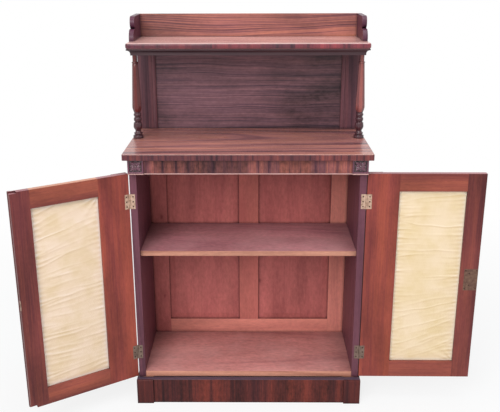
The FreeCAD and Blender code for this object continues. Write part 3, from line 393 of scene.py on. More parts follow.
def make_scuff_group() -> Tree:
    """Scatter dust and scuffs: soft clouds broken by fine scratches.

    Returns:
        The group, with output mask.
    """
    bench, given = start_group("dust_and_scuffs", place=ORIGIN, amount=0.5)
    cloud = bench.remap(bench.noise(given["place"], 6.0, 4.0, 0.6), 0.42, 0.68)
    scratch = bench.noise(bench.stretched(given["place"], 30.0, 420.0, 420.0), detail=1.0)
    both = bench.maths("MAXIMUM", cloud, bench.remap(scratch, 0.66, 0.74) * 0.5)
    return end_group(bench, mask=both * given["amount"])


def make_knot_group() -> Tree:
    """Scatter small pin knots: mask = one where the nearest of a few scattered points is within reach.

    Returns:
        The group, with output mask.
    """
    bench, given = start_group("pin_knots", place=ORIGIN, amount=0.5)
    flat = bench.stretched(given["place"], 5.5, 9.0, 3.0)
    ragged = (bench.noise(given["place"], 160.0) - 0.5) * 0.06
    near = bench.flow("TexVoronoi", {"Vector": flat, "Scale": 1.0}, "Distance") + ragged
    core = bench.remap(near, 0.035, 0.075, 1.0, 0.0)
    halo = bench.remap(near, 0.05, 0.2, 0.3, 0.0)
    return end_group(bench, mask=bench.maths("MAXIMUM", core, halo) * given["amount"])


def make_grime_group() -> Tree:
    """Find inner corners and recesses for painted shade: mask = one minus the share of open sky within a
    short reach.

    Returns:
        The group, with output mask.
    """
    bench, given = start_group("corner_grime", reach=0.012)
    open_sky = bench.flow("AmbientOcclusion", {"Distance": given["reach"]}, "AO", samples=6)
    return end_group(bench, mask=bench.remap(open_sky, 0.35, 0.9, 1.0, 0.0))


def make_tarnish_group() -> Tree:
    """Dull brass: browned clouds with small dark specks and fine rubbing.

    Returns:
        The group, with outputs colour, roughness and height.
    """
    bench, given = start_group("brass_tarnish", place=ORIGIN, bright=UNSET, dull=UNSET, age=0.5, clouds=3.0)
    cloud = bench.noise(given["place"], 90.0, 4.0, 0.6)
    speck = bench.remap(bench.noise(given["place"], 420.0), 0.66, 0.76)
    aged = (cloud - 0.5) * given["clouds"] + (given["age"] - 0.25) * 3.0
    share = bench.maths("MINIMUM", bench.maths("MAXIMUM", aged, 0.0) + speck * 0.5, 1.0)
    colour = bench.blend(share, given["bright"], given["dull"])
    return end_group(bench, colour=colour, roughness=share * 0.3 + 0.3, height=cloud - speck)


def make_weave_group() -> Tree:
    """Weave plain silk: crossed threads of uneven thickness, with slubs along the weft.

    Thread height = the larger of |sin| along the warp and |sin| along the weft, taken in turn.

    Returns:
        The group, with outputs height and slub.
    """
    bench, given = start_group("silk_weave", place=ORIGIN, pitch=0.0006)
    across, up, _ = bench.split(given["place"])
    turns = math.pi / given["pitch"]
    warp, weft = (abs(bench.maths("SINE", thread * turns)) for thread in (across, up))
    uneven = bench.noise(bench.stretched(given["place"], 14.0, 700.0, 1.0))
    height = bench.maths("MAXIMUM", warp, weft * bench.remap(uneven, 0.4, 0.75, 0.6, 1.6))
    return end_group(bench, height=height, slub=bench.remap(uneven, 0.45, 0.72))


# ---- finishes ----
# Painted shade laid into inner corners and recesses.
PAINTED_SHADE = paint(26, 12, 18)


@dataclass(frozen=True)
class WoodFinish:
    """A polished or stained wood: its colours, its figure, its polish, its wear, and the painted shade and
    highlights that it takes.
    """

    dark: Colour
    body: Colour
    light: Colour
    density: float = 60.0
    wander: float = 0.05
    fibres: float = 250.0
    veins: float = 0.7
    patches: float = 0.15
    mottle: float = 0.1
    roughness: float = 0.36
    gloss: float = 0.2
    polish: float = 0.0
    bloom: float = 0.0
    bloom_tint: Colour = (1.0, 0.62, 0.56, 1.0)
    # Rubbed edges, partly wear and partly a painted edge highlight: their colour and strength.
    rubbed: Colour = (0.18, 0.075, 0.055, 1.0)
    rubbing: float = 0.3
    # A painted highlight line along the arris whose normal rises by arris_rise: its strength, place, width
    # and colour.
    arris_line: float = 0.0
    arris_rise: float = 0.66
    arris_width: float = 0.26
    line_colour: Colour = (0.62, 0.42, 0.38, 1.0)
    # Painted shade in inner corners and along shelf backs: its strength and reach.
    grime: float = 0.7
    grime_reach: float = 0.012
    knots: float = 0.0
    dust: float = 0.0
    dust_colour: Colour = (0.5, 0.4, 0.35, 1.0)
    leaf: float = 0.0
    leaf_contrast: float = 0.0

    def stained(self, dark: Colour, body: Colour, light: Colour, **changes: object) -> "WoodFinish":
        """Return the same wood in other colours.

        Args:
            dark: colour of its veins.
            body: its main colour.
            light: colour between its rings.
            changes: other fields that differ.

        Returns:
            The new finish.
        """
        return replace(self, dark=dark, body=body, light=light, **changes)

    def figure(self) -> dict[str, object]:
        """Collect what the shared wood group takes from this finish.

        Returns:
            The group's inputs by name.
        """
        names = ("dark", "body", "light", "density", "wander", "fibres", "veins", "patches", "mottle",
                 "roughness")
        return {name: getattr(self, name) for name in names}


@dataclass(frozen=True)
class Cut:
    """How a board is cut: the way its grain runs, the way it faces and its place in the log."""

    grain: Point
    face: Point
    place: Point = (0.0, 0.0, 0.05)

    def turn(self) -> Point:
        """Work out the turn that brings the grain to X, the width to Y and the face to Z.

        Returns:
            Turns about X, Y and Z in radians.
        """
        grain = Vector(self.grain).normalized()
        face = Vector(self.face).normalized()
        return tuple(Matrix((grain, face.cross(grain), face)).to_euler("XYZ"))


@dataclass(frozen=True)
class OtherFace:
    """A second wood on the faces that are turned towards a way, or away from it."""

    facing: Point
    finish: WoodFinish
    cut: Cut
    away: bool = False
    start: float = 0.6
    full: float = 0.8
    above: float = -1.0
    above_fade: float = 0.002


@dataclass(frozen=True)
class Carving:
    """Dark polish left in a carving's hollows, and a painted highlight on its rubbed crests."""

    hollow: Colour = paint(30, 18, 26)
    # The crest colour and its strength below are a painted highlight.
    crest: Colour = paint(156, 128, 134)
    depth: float = 0.75
    shine: float = 0.7


@dataclass(frozen=True)
class BrassFinish:
    """Cast or rolled brass, with how bright and how browned it is."""

    bright: Colour
    dull: Colour
    age: float = 0.5
    clouds: float = 3.0
    # A darker colour towards the bottom, below a given height.
    grimy: Colour | None = None
    grimy_below: float = 0.45
    grimy_fade: float = 0.1


@dataclass(frozen=True)
class SilkFinish:
    """Plain woven silk."""

    body: Colour = paint(233, 208, 183)
    shade: Colour = paint(219, 192, 149)
    slub: Colour = paint(239, 220, 197)
    # The hollow and crest colours are painted shade and painted highlight on the folds; fold is how
    # strongly they are laid.
    hollow: Colour = paint(196, 159, 115)
    crest: Colour = paint(246, 233, 225)
    fold: float = 0.6
    pitch: float = 0.0006


ROSEWOOD = WoodFinish(paint(52, 26, 30), paint(100, 58, 60), paint(136, 82, 74), gloss=0.3)
ROSEWOOD_TOP = WoodFinish(
    paint(42, 21, 33), paint(106, 67, 83), paint(189, 125, 102), density=38.0, veins=0.75, roughness=0.25,
    gloss=0.3, polish=0.12, arris_line=0.85, patches=0.4, wander=0.09)
ROSEWOOD_PANEL = WoodFinish(
    paint(15, 10, 20), paint(65, 46, 61), paint(136, 96, 99), density=150.0, fibres=520.0, veins=0.45,
    patches=0.65, gloss=0.3, wander=0.1, mottle=0.25)
# The shelf top's colour is lightened to paint the overhead light that falls on it.
LIT_ROSEWOOD_SHELF = WoodFinish(
    paint(124, 81, 79), paint(184, 133, 128), paint(223, 172, 161), bloom=0.25, density=52.0, veins=0.5,
    roughness=0.25, gloss=0.5, polish=0.5, arris_line=0.9, arris_rise=0.88, arris_width=0.11)
ROSEWOOD_STILE = WoodFinish(
    paint(30, 16, 27), paint(77, 49, 60), paint(117, 71, 75), veins=0.5, patches=0.2, gloss=0.3)
# Darkened to painted shade, as the moulding sits under the shelf's nose.
SHADED_MOULDING = WoodFinish(
    paint(30, 18, 24), paint(52, 32, 40), paint(74, 46, 50), density=70.0, veins=0.5, gloss=0.4,
    rubbing=0.15)
COLUMN_WOOD = WoodFinish(
    paint(28, 12, 20), paint(56, 27, 37), paint(80, 44, 50), density=110.0, wander=0.02, fibres=420.0,
    veins=0.55, roughness=0.2, gloss=0.35, polish=0.3, rubbed=paint(190, 150, 150), rubbing=0.5,
    grime=0.95, grime_reach=0.005)
# Painted light: lighter copies of the column wood for the shaft facets that face forward, dimmer on the
# left column.
COLUMN_LIT_FRONT = WoodFinish(
    paint(72, 31, 39), paint(130, 70, 71), paint(165, 92, 83), density=110.0, wander=0.02, fibres=420.0,
    veins=0.5, polish=0.2)
COLUMN_DIMMER_LIT_FRONT_LEFT = COLUMN_LIT_FRONT.stained(paint(45, 10, 14), paint(86, 30, 31), paint(108, 41, 37))
GALLERY_END = WoodFinish(
    paint(34, 15, 29), paint(68, 31, 51), paint(92, 47, 64), density=80.0, veins=0.4, gloss=0.3)
PLINTH_BLOCK = WoodFinish(
    paint(23, 8, 15), paint(58, 26, 29), paint(102, 44, 38), wander=0.03, veins=0.4, leaf=0.2,
    patches=0.3, rubbing=0.1)
ROSEWOOD_GALLERY = WoodFinish(
    paint(58, 30, 38), paint(112, 69, 82), paint(193, 122, 97), density=190.0, fibres=520.0, veins=0.75,
    patches=0.45, gloss=0.3, wander=0.12)
CROSSBAND = WoodFinish(
    paint(32, 15, 34), paint(82, 51, 72), paint(159, 97, 88), density=42.0, wander=0.03, fibres=380.0,
    veins=0.6, leaf=0.052, patches=0.45, leaf_contrast=0.65, mottle=0.35)
PLINTH_BAND = CROSSBAND.stained(
    paint(16, 6, 13), paint(53, 26, 32), paint(103, 46, 41), density=40.0, veins=0.45, leaf=0.088,
    patches=0.5, leaf_contrast=0.55, rubbing=0.1)
LEDGE = WoodFinish(paint(38, 26, 41), paint(74, 58, 75), paint(92, 74, 87), veins=0.3)
EDGE_BAND = WoodFinish(
    paint(31, 12, 25), paint(77, 41, 56), paint(124, 66, 65), density=90.0, wander=0.02, veins=0.6,
    leaf=0.11, leaf_contrast=0.5)
NOSE_BAND = EDGE_BAND.stained(
    paint(26, 6, 20), paint(73, 29, 50), paint(119, 47, 59), density=60.0, leaf=0.09, patches=0.4,
    leaf_contrast=0.7)
CARVED = WoodFinish(
    paint(43, 17, 34), paint(86, 40, 60), paint(114, 55, 78), veins=0.3, roughness=0.26, gloss=0.5,
    polish=0.3, rubbed=paint(190, 160, 158), rubbing=0.6, grime=0.95, grime_reach=0.003)
DOOR_STILE = WoodFinish(
    paint(61, 23, 33), paint(120, 54, 52), paint(157, 77, 58), density=16.0, veins=0.16, patches=0.5,
    roughness=0.4)
DOOR_RAIL = DOOR_STILE.stained(
    paint(76, 31, 34), paint(125, 61, 58), paint(166, 89, 68), density=18.0, patches=0.4)
MEETING_STILE = DOOR_RAIL.stained(
    paint(56, 23, 33), paint(107, 51, 53), paint(141, 73, 59), wander=0.07, veins=0.3)
DOOR_EDGE = WoodFinish(
    paint(150, 96, 84), paint(186, 130, 110), paint(206, 152, 124), veins=0.3, roughness=0.5)
DOOR_EDGE_DARK = DOOR_EDGE.stained(paint(112, 70, 76), paint(146, 98, 104), paint(164, 114, 116))
PINE_PANEL = WoodFinish(
    paint(126, 62, 62), paint(180, 101, 98), paint(195, 113, 107), density=24.0, wander=0.08, veins=0.15,
    patches=0.22, roughness=0.5, gloss=0.15, grime=0.9, knots=0.7, mottle=0.15)
PINE_FRAME = WoodFinish(
    paint(151, 83, 78), paint(209, 129, 119), paint(224, 145, 128), density=24.0, wander=0.06, veins=0.15,
    patches=0.2, roughness=0.5, gloss=0.15, grime=0.8)
MUNTIN = PINE_FRAME.stained(paint(136, 67, 66), paint(189, 106, 100), paint(203, 120, 109))
SHELF_WOOD = WoodFinish(
    paint(121, 73, 83), paint(179, 118, 127), paint(205, 140, 143), density=40.0, veins=0.3, patches=0.25,
    roughness=0.45, dust=0.35, dust_colour=paint(220, 171, 171), knots=0.5, grime=0.5, grime_reach=0.16,
    mottle=0.2)
BOTTOM_WOOD = SHELF_WOOD.stained(
    paint(138, 82, 80), paint(189, 124, 122), paint(210, 145, 137), patches=0.2,
    dust_colour=paint(218, 168, 163), grime=0.45, grime_reach=0.1)
SHELF_EDGE = WoodFinish(
    paint(134, 81, 62), paint(177, 121, 102), paint(195, 140, 118), veins=0.5, roughness=0.45)
BOTTOM_EDGE = SHELF_EDGE.stained(paint(157, 95, 73), paint(207, 142, 120), paint(229, 164, 138))
INNER_SIDE = WoodFinish(
    paint(58, 33, 43), paint(94, 55, 67), paint(110, 66, 77), density=34.0, veins=0.3, roughness=0.42)
PLAIN_DEAL = WoodFinish(
    paint(92, 58, 44), paint(150, 104, 78), paint(174, 128, 98), density=40.0, veins=0.4, patches=0.3,
    roughness=0.6, gloss=0.1, knots=0.6)
# Its hollow and crest colours are painted shade and painted highlight on the folds.
GOLD_SILK = SilkFinish(
    body=paint(237, 213, 179), shade=paint(224, 197, 145), slub=paint(244, 225, 193),
    hollow=paint(202, 164, 112), crest=paint(249, 234, 213))
PALE_BRASS = BrassFinish(paint(212, 180, 158), paint(137, 102, 84), age=0.32, grimy=paint(84, 72, 68))
AGED_BRASS = BrassFinish(paint(170, 136, 111), paint(108, 81, 71), age=0.55, clouds=1.2)
SCREW_BRASS = BrassFinish(paint(110, 84, 70), paint(60, 42, 38), age=0.6)
# Pale, as a painted highlight along the bead.
LIT_FRIEZE_BEAD = WoodFinish(
    paint(150, 104, 100), paint(186, 142, 138), paint(204, 164, 158), veins=0.3, roughness=0.25)

Board = tuple[WoodFinish, Cut] | tuple[WoodFinish, Cut, OtherFace]


class Workshop:
    """Makes the materials and puts them on pieces."""

    def __init__(self) -> None:
        """Build the shared node groups once."""
        self.wood_group = make_wood_group()
        self.leaf_group = make_leaf_group()
        self.arris_group = make_arris_group()
        self.scuff_group = make_scuff_group()
        self.knot_group = make_knot_group()
        self.grime_group = make_grime_group()
        self.tarnish_group = make_tarnish_group()
        self.weave_group = make_weave_group()

    @staticmethod
    def begin(name: str) -> tuple[bpy.types.Material, Bench, bpy.types.Node]:
        """Start a material.

        Args:
            name: the material's name.

        Returns:
            The material, its bench and its Principled BSDF.
        """
        material = bpy.data.materials.new(name)
        material.use_nodes = True
        material.node_tree.nodes.clear()
        bench = Bench(material.node_tree)
        shader = bench.add("BsdfPrincipled")
        bench.add("OutputMaterial", {"Surface": Flow(bench, shader.outputs[0])})
        return material, bench, shader

    @staticmethod
    def bump(bench: Bench, strength: float, distance: float, height: Flow, normal: Flow) -> Flow:
        """Return the normal of a surface that is raised a little.

        Args:
            bench: the material's bench.
            strength: how strongly it shows.
            distance: how far a height of 1 stands out.
            height: how far each place is raised.
            normal: the surface's normal before.

        Returns:
            The new normal.
        """
        return bench.flow("Bump", {"Strength": strength, "Distance": distance, "Height": height,
                                   "Normal": normal})

    def figure(self, bench: Bench, place: Flow, finish: WoodFinish, cut: Cut) -> tuple[Flow, Flow, Flow]:
        """Lay one wood's figure.

        Args:
            bench: the material's bench.
            place: object coordinates.
            finish: the wood.
            cut: how the board is cut from it.

        Returns:
            Colour, roughness and height.
        """
        place = bench.flow("Mapping", {"Vector": place, "Location": cut.place, "Rotation": cut.turn()})
        if finish.leaf:
            leaves = bench.group(self.leaf_group, place=place, width=finish.leaf)
            place = leaves["place"]
        wood = bench.group(self.wood_group, place=place, **finish.figure())
        colour = wood["colour"]
        if finish.leaf:
            half = finish.leaf_contrast / 2
            warm = [bench.remap(leaves["tint"], 0.0, 1.0, 1.0 - half, 1.0 + half * part)
                    for part in (1.4, 0.9, -0.1)]
            colour = bench.blend(1.0, colour, bench.point(*warm), "MULTIPLY")
        for group, amount, stain in ((self.knot_group, finish.knots, finish.dark),
                                     (self.scuff_group, finish.dust, finish.dust_colour)):
            if amount:
                mask = bench.group(group, place=place, amount=amount)["mask"]
                colour = bench.blend(mask, colour, stain)
        return colour, wood["roughness"], wood["height"]

    def wood(self, name: str, finish: WoodFinish, cut: Cut, other: OtherFace | None = None,
             carving: Carving | None = None) -> bpy.types.Material:
        """Make a wood material.

        Args:
            name: the material's name.
            finish: the wood.
            cut: how the board is cut.
            other: a second wood for some of its faces.
            carving: the dark polish in hollows and the painted highlight on crests, where the piece says
                how high each point is.

        Returns:
            The material.
        """
        material, bench, shader = self.begin(name)
        place, normal = bench.flow("TexCoord", out="Object"), bench.flow("TexCoord", out="Normal")
        colour, dull, raised = self.figure(bench, place, finish, cut)
        coat = finish.polish
        if other is not None:
            turned = bench.dot(normal, other.facing)
            if other.away:
                share = bench.remap(abs(turned), other.start, other.full, 1.0, 0.0)
            else:
                share = bench.remap(turned, other.start, other.full)
            rise = bench.split(place)[2]
            share = share * bench.remap(rise, other.above, other.above + other.above_fade)
            colour = bench.blend(share, colour, self.figure(bench, place, other.finish, other.cut)[0])
            coat = share * (other.finish.polish - finish.polish) + finish.polish
        if carving is not None:
            # Dark polish in the hollows, and a painted highlight on the crests.
            level = bench.flow("Attribute", out="Fac", attribute_name="carved")
            colour = bench.blend(bench.remap(level, 0.0, 0.45, carving.depth, 0.0), colour, carving.hollow)
            colour = bench.blend(bench.remap(level, 0.55, 0.95, 0.0, carving.shine), colour, carving.crest)
        # Rubbed edges: partly wear, partly a painted highlight on arrises and rings.
        arris = bench.group(self.arris_group)
        colour = bench.blend(arris["mask"] * finish.rubbing, colour, finish.rubbed)
        # Painted shade in inner corners and recesses, and towards the shelves' backs, from ambient
        # occlusion.
        grime = bench.group(self.grime_group, reach=finish.grime_reach)["mask"]
        colour = bench.blend(grime * finish.grime, colour, PAINTED_SHADE)
        # A painted highlight line along the arris where the normal rises by arris_rise.
        if finish.arris_line:
            away = abs(bench.split(normal)[2] - finish.arris_rise)
            line = bench.remap(away, finish.arris_width / 2, finish.arris_width, finish.arris_line, 0.0)
            colour = bench.blend(line, colour, finish.line_colour)
        bench.fill(shader, {
            "Base Color": colour, "Roughness": dull,
            "Normal": self.bump(bench, 0.25, 0.4 * MM, raised, arris["normal"]),
            "Specular IOR Level": finish.gloss, "Coat Weight": coat, "Coat Roughness": 0.12,
            "Sheen Weight": finish.bloom, "Sheen Tint": finish.bloom_tint})
        return material

    def brass(self, name: str, finish: BrassFinish) -> bpy.types.Material:
        """Make a brass material.

        Args:
            name: the material's name.
            finish: the brass.

        Returns:
            The material.
        """
        material, bench, shader = self.begin(name)
        place = bench.flow("TexCoord", out="Object")
        metal = bench.group(self.tarnish_group, place=place, bright=finish.bright, dull=finish.dull,
                            age=finish.age, clouds=finish.clouds)
        arris = bench.group(self.arris_group, radius=0.5 * MM)
        colour = bench.blend(arris["mask"] * 0.5, metal["colour"], finish.bright)
        # Darker towards the bottom, below a given height.
        if finish.grimy is not None:
            low, high = finish.grimy_below - finish.grimy_fade, finish.grimy_below + finish.grimy_fade
            colour = bench.blend(bench.remap(bench.split(place)[2], low, high, 0.75, 0.0), colour,
                                 finish.grimy)
        bench.fill(shader, {
            "Base Color": colour, "Roughness": metal["roughness"], "Metallic": 0.85,
            "Normal": self.bump(bench, 0.3, 0.2 * MM, metal["height"], arris["normal"])})
        return material

    def silk(self, name: str, finish: SilkFinish) -> bpy.types.Material:
        """Make a silk material that follows the cloth's own map, in metres.

        Args:
            name: the material's name.
            finish: the silk.

        Returns:
            The material.
        """
        material, bench, shader = self.begin(name)
        place = bench.flow("UVMap", uv_map="cloth")
        weave = bench.group(self.weave_group, place=place, pitch=finish.pitch)
        cloud = bench.remap(bench.noise(place, 11.0, 4.0, 0.6), 0.38, 0.62)
        colour = bench.blend(cloud * 0.75, finish.body, finish.shade)
        colour = bench.blend(weave["slub"] * 0.35, colour, finish.slub)
        # Painted shade on the folds' down-facing slopes and a painted highlight on their up-facing ones.
        shine = bench.flow("Attribute", out="Fac", attribute_name="shine")
        colour = bench.blend(bench.remap(shine, 0.15, 0.5, finish.fold, 0.0), colour, finish.hollow)
        colour = bench.blend(bench.remap(shine, 0.5, 0.85, 0.0, finish.fold), colour, finish.crest)
        raised = bench.flow("Bump", {"Strength": 0.35, "Distance": 0.3 * MM, "Height": weave["height"]})
        bench.fill(shader, {"Base Color": colour, "Normal": raised, "Roughness": 0.55,
                            "Sheen Weight": 0.35, "Sheen Roughness": 0.4})
        return material

    @staticmethod
    def put(piece: bpy.types.Object, material: bpy.types.Material) -> None:
        """Give a piece one material in all its slots.

        Args:
            piece: the piece.
            material: its material.
        """
        if not piece.material_slots:
            piece.data.materials.append(material)
        for slot in piece.material_slots:
            slot.material = material

    def dress_board(self, name: str, finish: WoodFinish, cut: Cut, other: OtherFace | None = None) -> None:
        """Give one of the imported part's boards its wood.

        Args:
            name: the board's node.
            finish: the wood.
            cut: how the board is cut.
            other: a second wood for some of its faces.
        """
        self.put(frame["nodes"][name], self.wood(f"{name}_wood", finish, cut, other))
        log.info("dressed %s", name)

    def dress_fitting(self, name: str, finish: BrassFinish) -> None:
        """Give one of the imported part's fittings its brass."""
        self.put(frame["nodes"][name], self.brass(f"{name}_brass", finish))
        log.info("dressed %s", name)


# ---- shapes ----
def bell(away: np.ndarray, girth: float) -> np.ndarray:
    """Return a bell-shaped rise: e to the power of minus (distance over girth) squared."""
    return np.exp(-(away / girth) ** 2)


def grid_quads(rows: int, columns: int, ring: bool = False) -> np.ndarray:
    """Return the faces of a grid of points.

    Args:
        rows: number of rows.
        columns: points in a row.
        ring: whether each row closes on itself.

    Returns:
        Faces, four point numbers each; the point in row r and column c is r * columns + c.
    """
    last = columns if ring else columns - 1
    row, column = np.meshgrid(np.arange(rows - 1), np.arange(last), indexing="ij")
    after = (column + 1) % columns
    quads = np.stack([row * columns + column, row * columns + after,
                      (row + 1) * columns + after, (row + 1) * columns + column], axis=-1)
    return quads.reshape(-1, 4)


def rim_numbers(rows: int, columns: int) -> np.ndarray:
    """Go round the rim of a grid.

    Args:
        rows: number of rows.
        columns: points in a row.

    Returns:
        The point numbers of the rim, in order.
    """
    low = np.arange(columns)
    right = np.arange(1, rows) * columns + columns - 1
    high = (rows - 1) * columns + np.arange(columns - 2, -1, -1)
    left = np.arange(rows - 2, 0, -1) * columns
    return np.concatenate([low, right, high, left])


def add_object(name: str, data: bpy.types.ID) -> bpy.types.Object:
    """Put a new object into the scene.

    Args:
        name: the object's name.
        data: its mesh, camera or light.

    Returns:
        The object.
    """
    made = bpy.data.objects.new(name, data)
    bpy.context.scene.collection.objects.link(made)
    return made


def new_piece(name: str, points: np.ndarray, faces: Iterable[Sequence[int]], body: str, slot: Slot,
              crease: float = 35.0) -> bpy.types.Object:
    """Make a closed mesh piece that rides on a body.

    Args:
        name: the piece's name.
        points: its points, one row each, in metres.
        faces: the point numbers of each face.
        body: the body that it rides on.
        slot: a material slot; not used.
        crease: edges sharper than this many degrees stay sharp.

    Returns:
        The new object, at the origin.
    """
    mesh = bpy.data.meshes.new(name)
    mesh.from_pydata(points.tolist(), [], [list(map(int, face)) for face in faces])
    shape = bmesh.new()
    shape.from_mesh(mesh)
    bmesh.ops.recalc_face_normals(shape, faces=shape.faces[:])
    shape.to_mesh(mesh)
    shape.free()
    mesh.polygons.foreach_set("use_smooth", np.ones(len(mesh.polygons), dtype=bool))
    mesh.set_sharp_from_angle(angle=math.radians(crease))
    mesh.update()
    piece = add_object(name, mesh)
    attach(piece, body)
    log.info("%s: %d points, %d faces, on %s", name, len(mesh.vertices), len(mesh.polygons), body)
    return piece


def join_rims(first: np.ndarray, second: np.ndarray) -> list[list[int]]:
    """Return the four-sided faces between two closed rows of point numbers."""
    return np.stack([np.roll(first, -1), first, second, np.roll(second, -1)], axis=-1).tolist()


def capped_rings(rings: np.ndarray) -> tuple[np.ndarray, list[list[int]]]:
    """Close a stack of rings with a fan at each end.

    Args:
        rings: points of shape (rows, columns, 3).

    Returns:
        Points and faces of the closed surface.
    """
    rows, columns = rings.shape[:2]
    ends = np.stack([rings[0].mean(0), rings[-1].mean(0)])
    points = np.concatenate([rings.reshape(-1, 3), ends])
    faces = grid_quads(rows, columns, ring=True).tolist()
    around = np.arange(columns)
    after = np.roll(around, -1)
    top = (rows - 1) * columns
    foot_middle = np.full(columns, rows * columns)
    faces += np.stack([after, around, foot_middle], axis=-1).tolist()
    faces += np.stack([top + around, top + after, foot_middle + 1], axis=-1).tolist()
    return points, faces


def smooth_path(stations: np.ndarray, per_span: int = 6) -> np.ndarray:
    """Run a curve through stations with rounded spans (Catmull-Rom) and straight ones as given.

    Args:
        stations: rows of distance, height and a mark, 1 where the next span curves and 0 where not.
        per_span: points on each curved span.

    Returns:
        Rows of distance and height.
    """
    marks = stations[:, 2]
    line = stations[:, :2]
    padded = np.concatenate([line[:1], line, line[-1:]])
    parts = []
    for index in range(len(line) - 1):
        if not marks[index]:
            parts.append(line[index:index + 1])
            continue
        share = np.linspace(0, 1, per_span, endpoint=False)[:, None]
        before, here, there, beyond = padded[index:index + 4]
        before = before if index and marks[index - 1] else here
        beyond = beyond if index + 1 < len(marks) and marks[index + 1] else there
        parts.append(0.5 * (2 * here + (there - before) * share
                            + (2 * before - 5 * here + 4 * there - beyond) * share ** 2
                            + (3 * here - before - 3 * there + beyond) * share ** 3))
    parts.append(line[-1:])
    return np.concatenate(parts)


def mark_points(piece: bpy.types.Object, name: str, values: np.ndarray) -> None:
    """Keep one number at each point of a piece, for its material.

    Args:
        piece: the piece.
        name: the attribute's name.
        values: one number for each point.
    """
    piece.data.attributes.new(name, "FLOAT", "POINT").data.foreach_set("value", values)


@dataclass
class Column:
    """A turned column with an eight-sided swelling shaft.

    Profile, shaft and crown are rows of radius and height in millimetres. A profile's third number
    is 1 where the next span is rounded and 0 where it is straight.
    """

    side: Side
    shop: Workshop
    profile: tuple[tuple[float, float, int], ...] = (
        (17.2, 0.0, 0), (18.0, 0.8, 0), (18.0, 8.6, 1), (17.3, 9.8, 1), (15.4, 10.6, 0),
        (12.9, 11.4, 0), (12.7, 13.2, 0), (14.0, 14.2, 1), (15.0, 16.2, 1), (15.0, 18.0, 1),
        (14.0, 19.8, 0), (12.0, 20.4, 0), (10.9, 21.6, 1), (10.0, 24.4, 1), (9.9, 27.4, 1),
        (10.8, 29.8, 0), (11.8, 30.4, 1), (13.4, 33.5, 1), (15.3, 38.0, 1), (15.7, 41.5, 1),
        (15.5, 46.0, 1), (14.9, 51.0, 1), (14.1, 55.0, 0), (12.2, 56.8, 0), (10.9, 57.6, 0),
        (10.9, 60.2, 0), (12.0, 60.8, 1), (13.4, 62.6, 1), (13.6, 65.5, 1), (13.6, 69.0, 1),
        (13.1, 71.8, 1), (12.0, 73.2, 0), (10.8, 73.8, 0), (10.8, 78.2, 0), (12.0, 78.8, 1),
        (13.4, 81.0, 1), (13.6, 83.4, 1), (13.2, 86.0, 1), (12.0, 87.8, 0), (11.2, 88.4, 0),
        (11.2, 90.6, 0), (11.8, 93.0, 0))
    shaft: tuple[tuple[float, float], ...] = (
        (11.8, 93.0), (13.3, 96.5), (15.0, 101.5), (16.4, 106.5), (17.0, 111.0), (16.8, 117.0),
        (15.8, 140.0), (14.2, 175.0), (12.4, 215.0), (10.8, 247.0), (10.3, 262.5))
    crown: tuple[tuple[float, float], ...] = (
        (9.2, 263.2), (9.2, 264.0), (10.9, 264.5), (11.4, 265.6), (11.3, 267.2), (10.6, 268.4),
        (8.4, 269.0), (8.0, 270.4), (8.4, 272.4), (8.4, 276.0), (7.9, 277.0), (8.4, 278.4),
        (8.4, 297.0))
    column_x: float = 0.393
    column_y: float = 0.220
    facets: int = 8
    around: int = 96
    crease: float = 28.0

    def build(self) -> bpy.types.Object:
        """Turn the column: radius = profile(height) times the outline of a circle or an octagon.

        Returns:
            The finished column.
        """
        stands_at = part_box("top_board")[1][2]
        below = smooth_path(np.array(self.profile))[:-1]
        shaft, crown = np.array(self.shaft), np.array(self.crown)
        radius, height = np.concatenate([below, shaft, crown]).T[:, :, None]
        flat = np.concatenate([np.zeros(len(below)), np.ones(len(shaft)), np.zeros(len(crown))])[:, None]
        angle = np.arange(self.around) * FULL_TURN / self.around
        wedge = FULL_TURN / self.facets
        octagon = math.cos(wedge / 2) / np.cos(angle % wedge - wedge / 2)
        reach = radius * (1 + flat * (octagon - 1)) * MM
        turned = angle + wedge / 2
        rings = np.stack([self.side.value * self.column_x + reach * np.cos(turned),
                          self.column_y + reach * np.sin(turned),
                          np.broadcast_to(stands_at + height * MM, reach.shape)], axis=-1)
        name = f"column_{self.side.word}"
        piece = new_piece(f"turned_{name}", *capped_rings(rings), "carcase", Slot.ROSEWOOD, self.crease)
        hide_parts(name)
        cut = Cut(Way.UP, Way.BACK, (0.2 * self.side.value, 0.0, 0.03 - self.column_y))
        # The forward-facing shaft facets take a lighter copy of the wood as painted light; the left
        # column's copy is dimmer.
        wood = COLUMN_DIMMER_LIT_FRONT_LEFT if self.side is Side.LEFT else COLUMN_LIT_FRONT
        front = OtherFace(Way.FRONT, wood, cut, start=0.5, above=stands_at + self.shaft[0][1] * MM)
        self.shop.put(piece, self.shop.wood(f"turned_wood_{self.side.word}", COLUMN_WOOD, cut, front))
        return piece


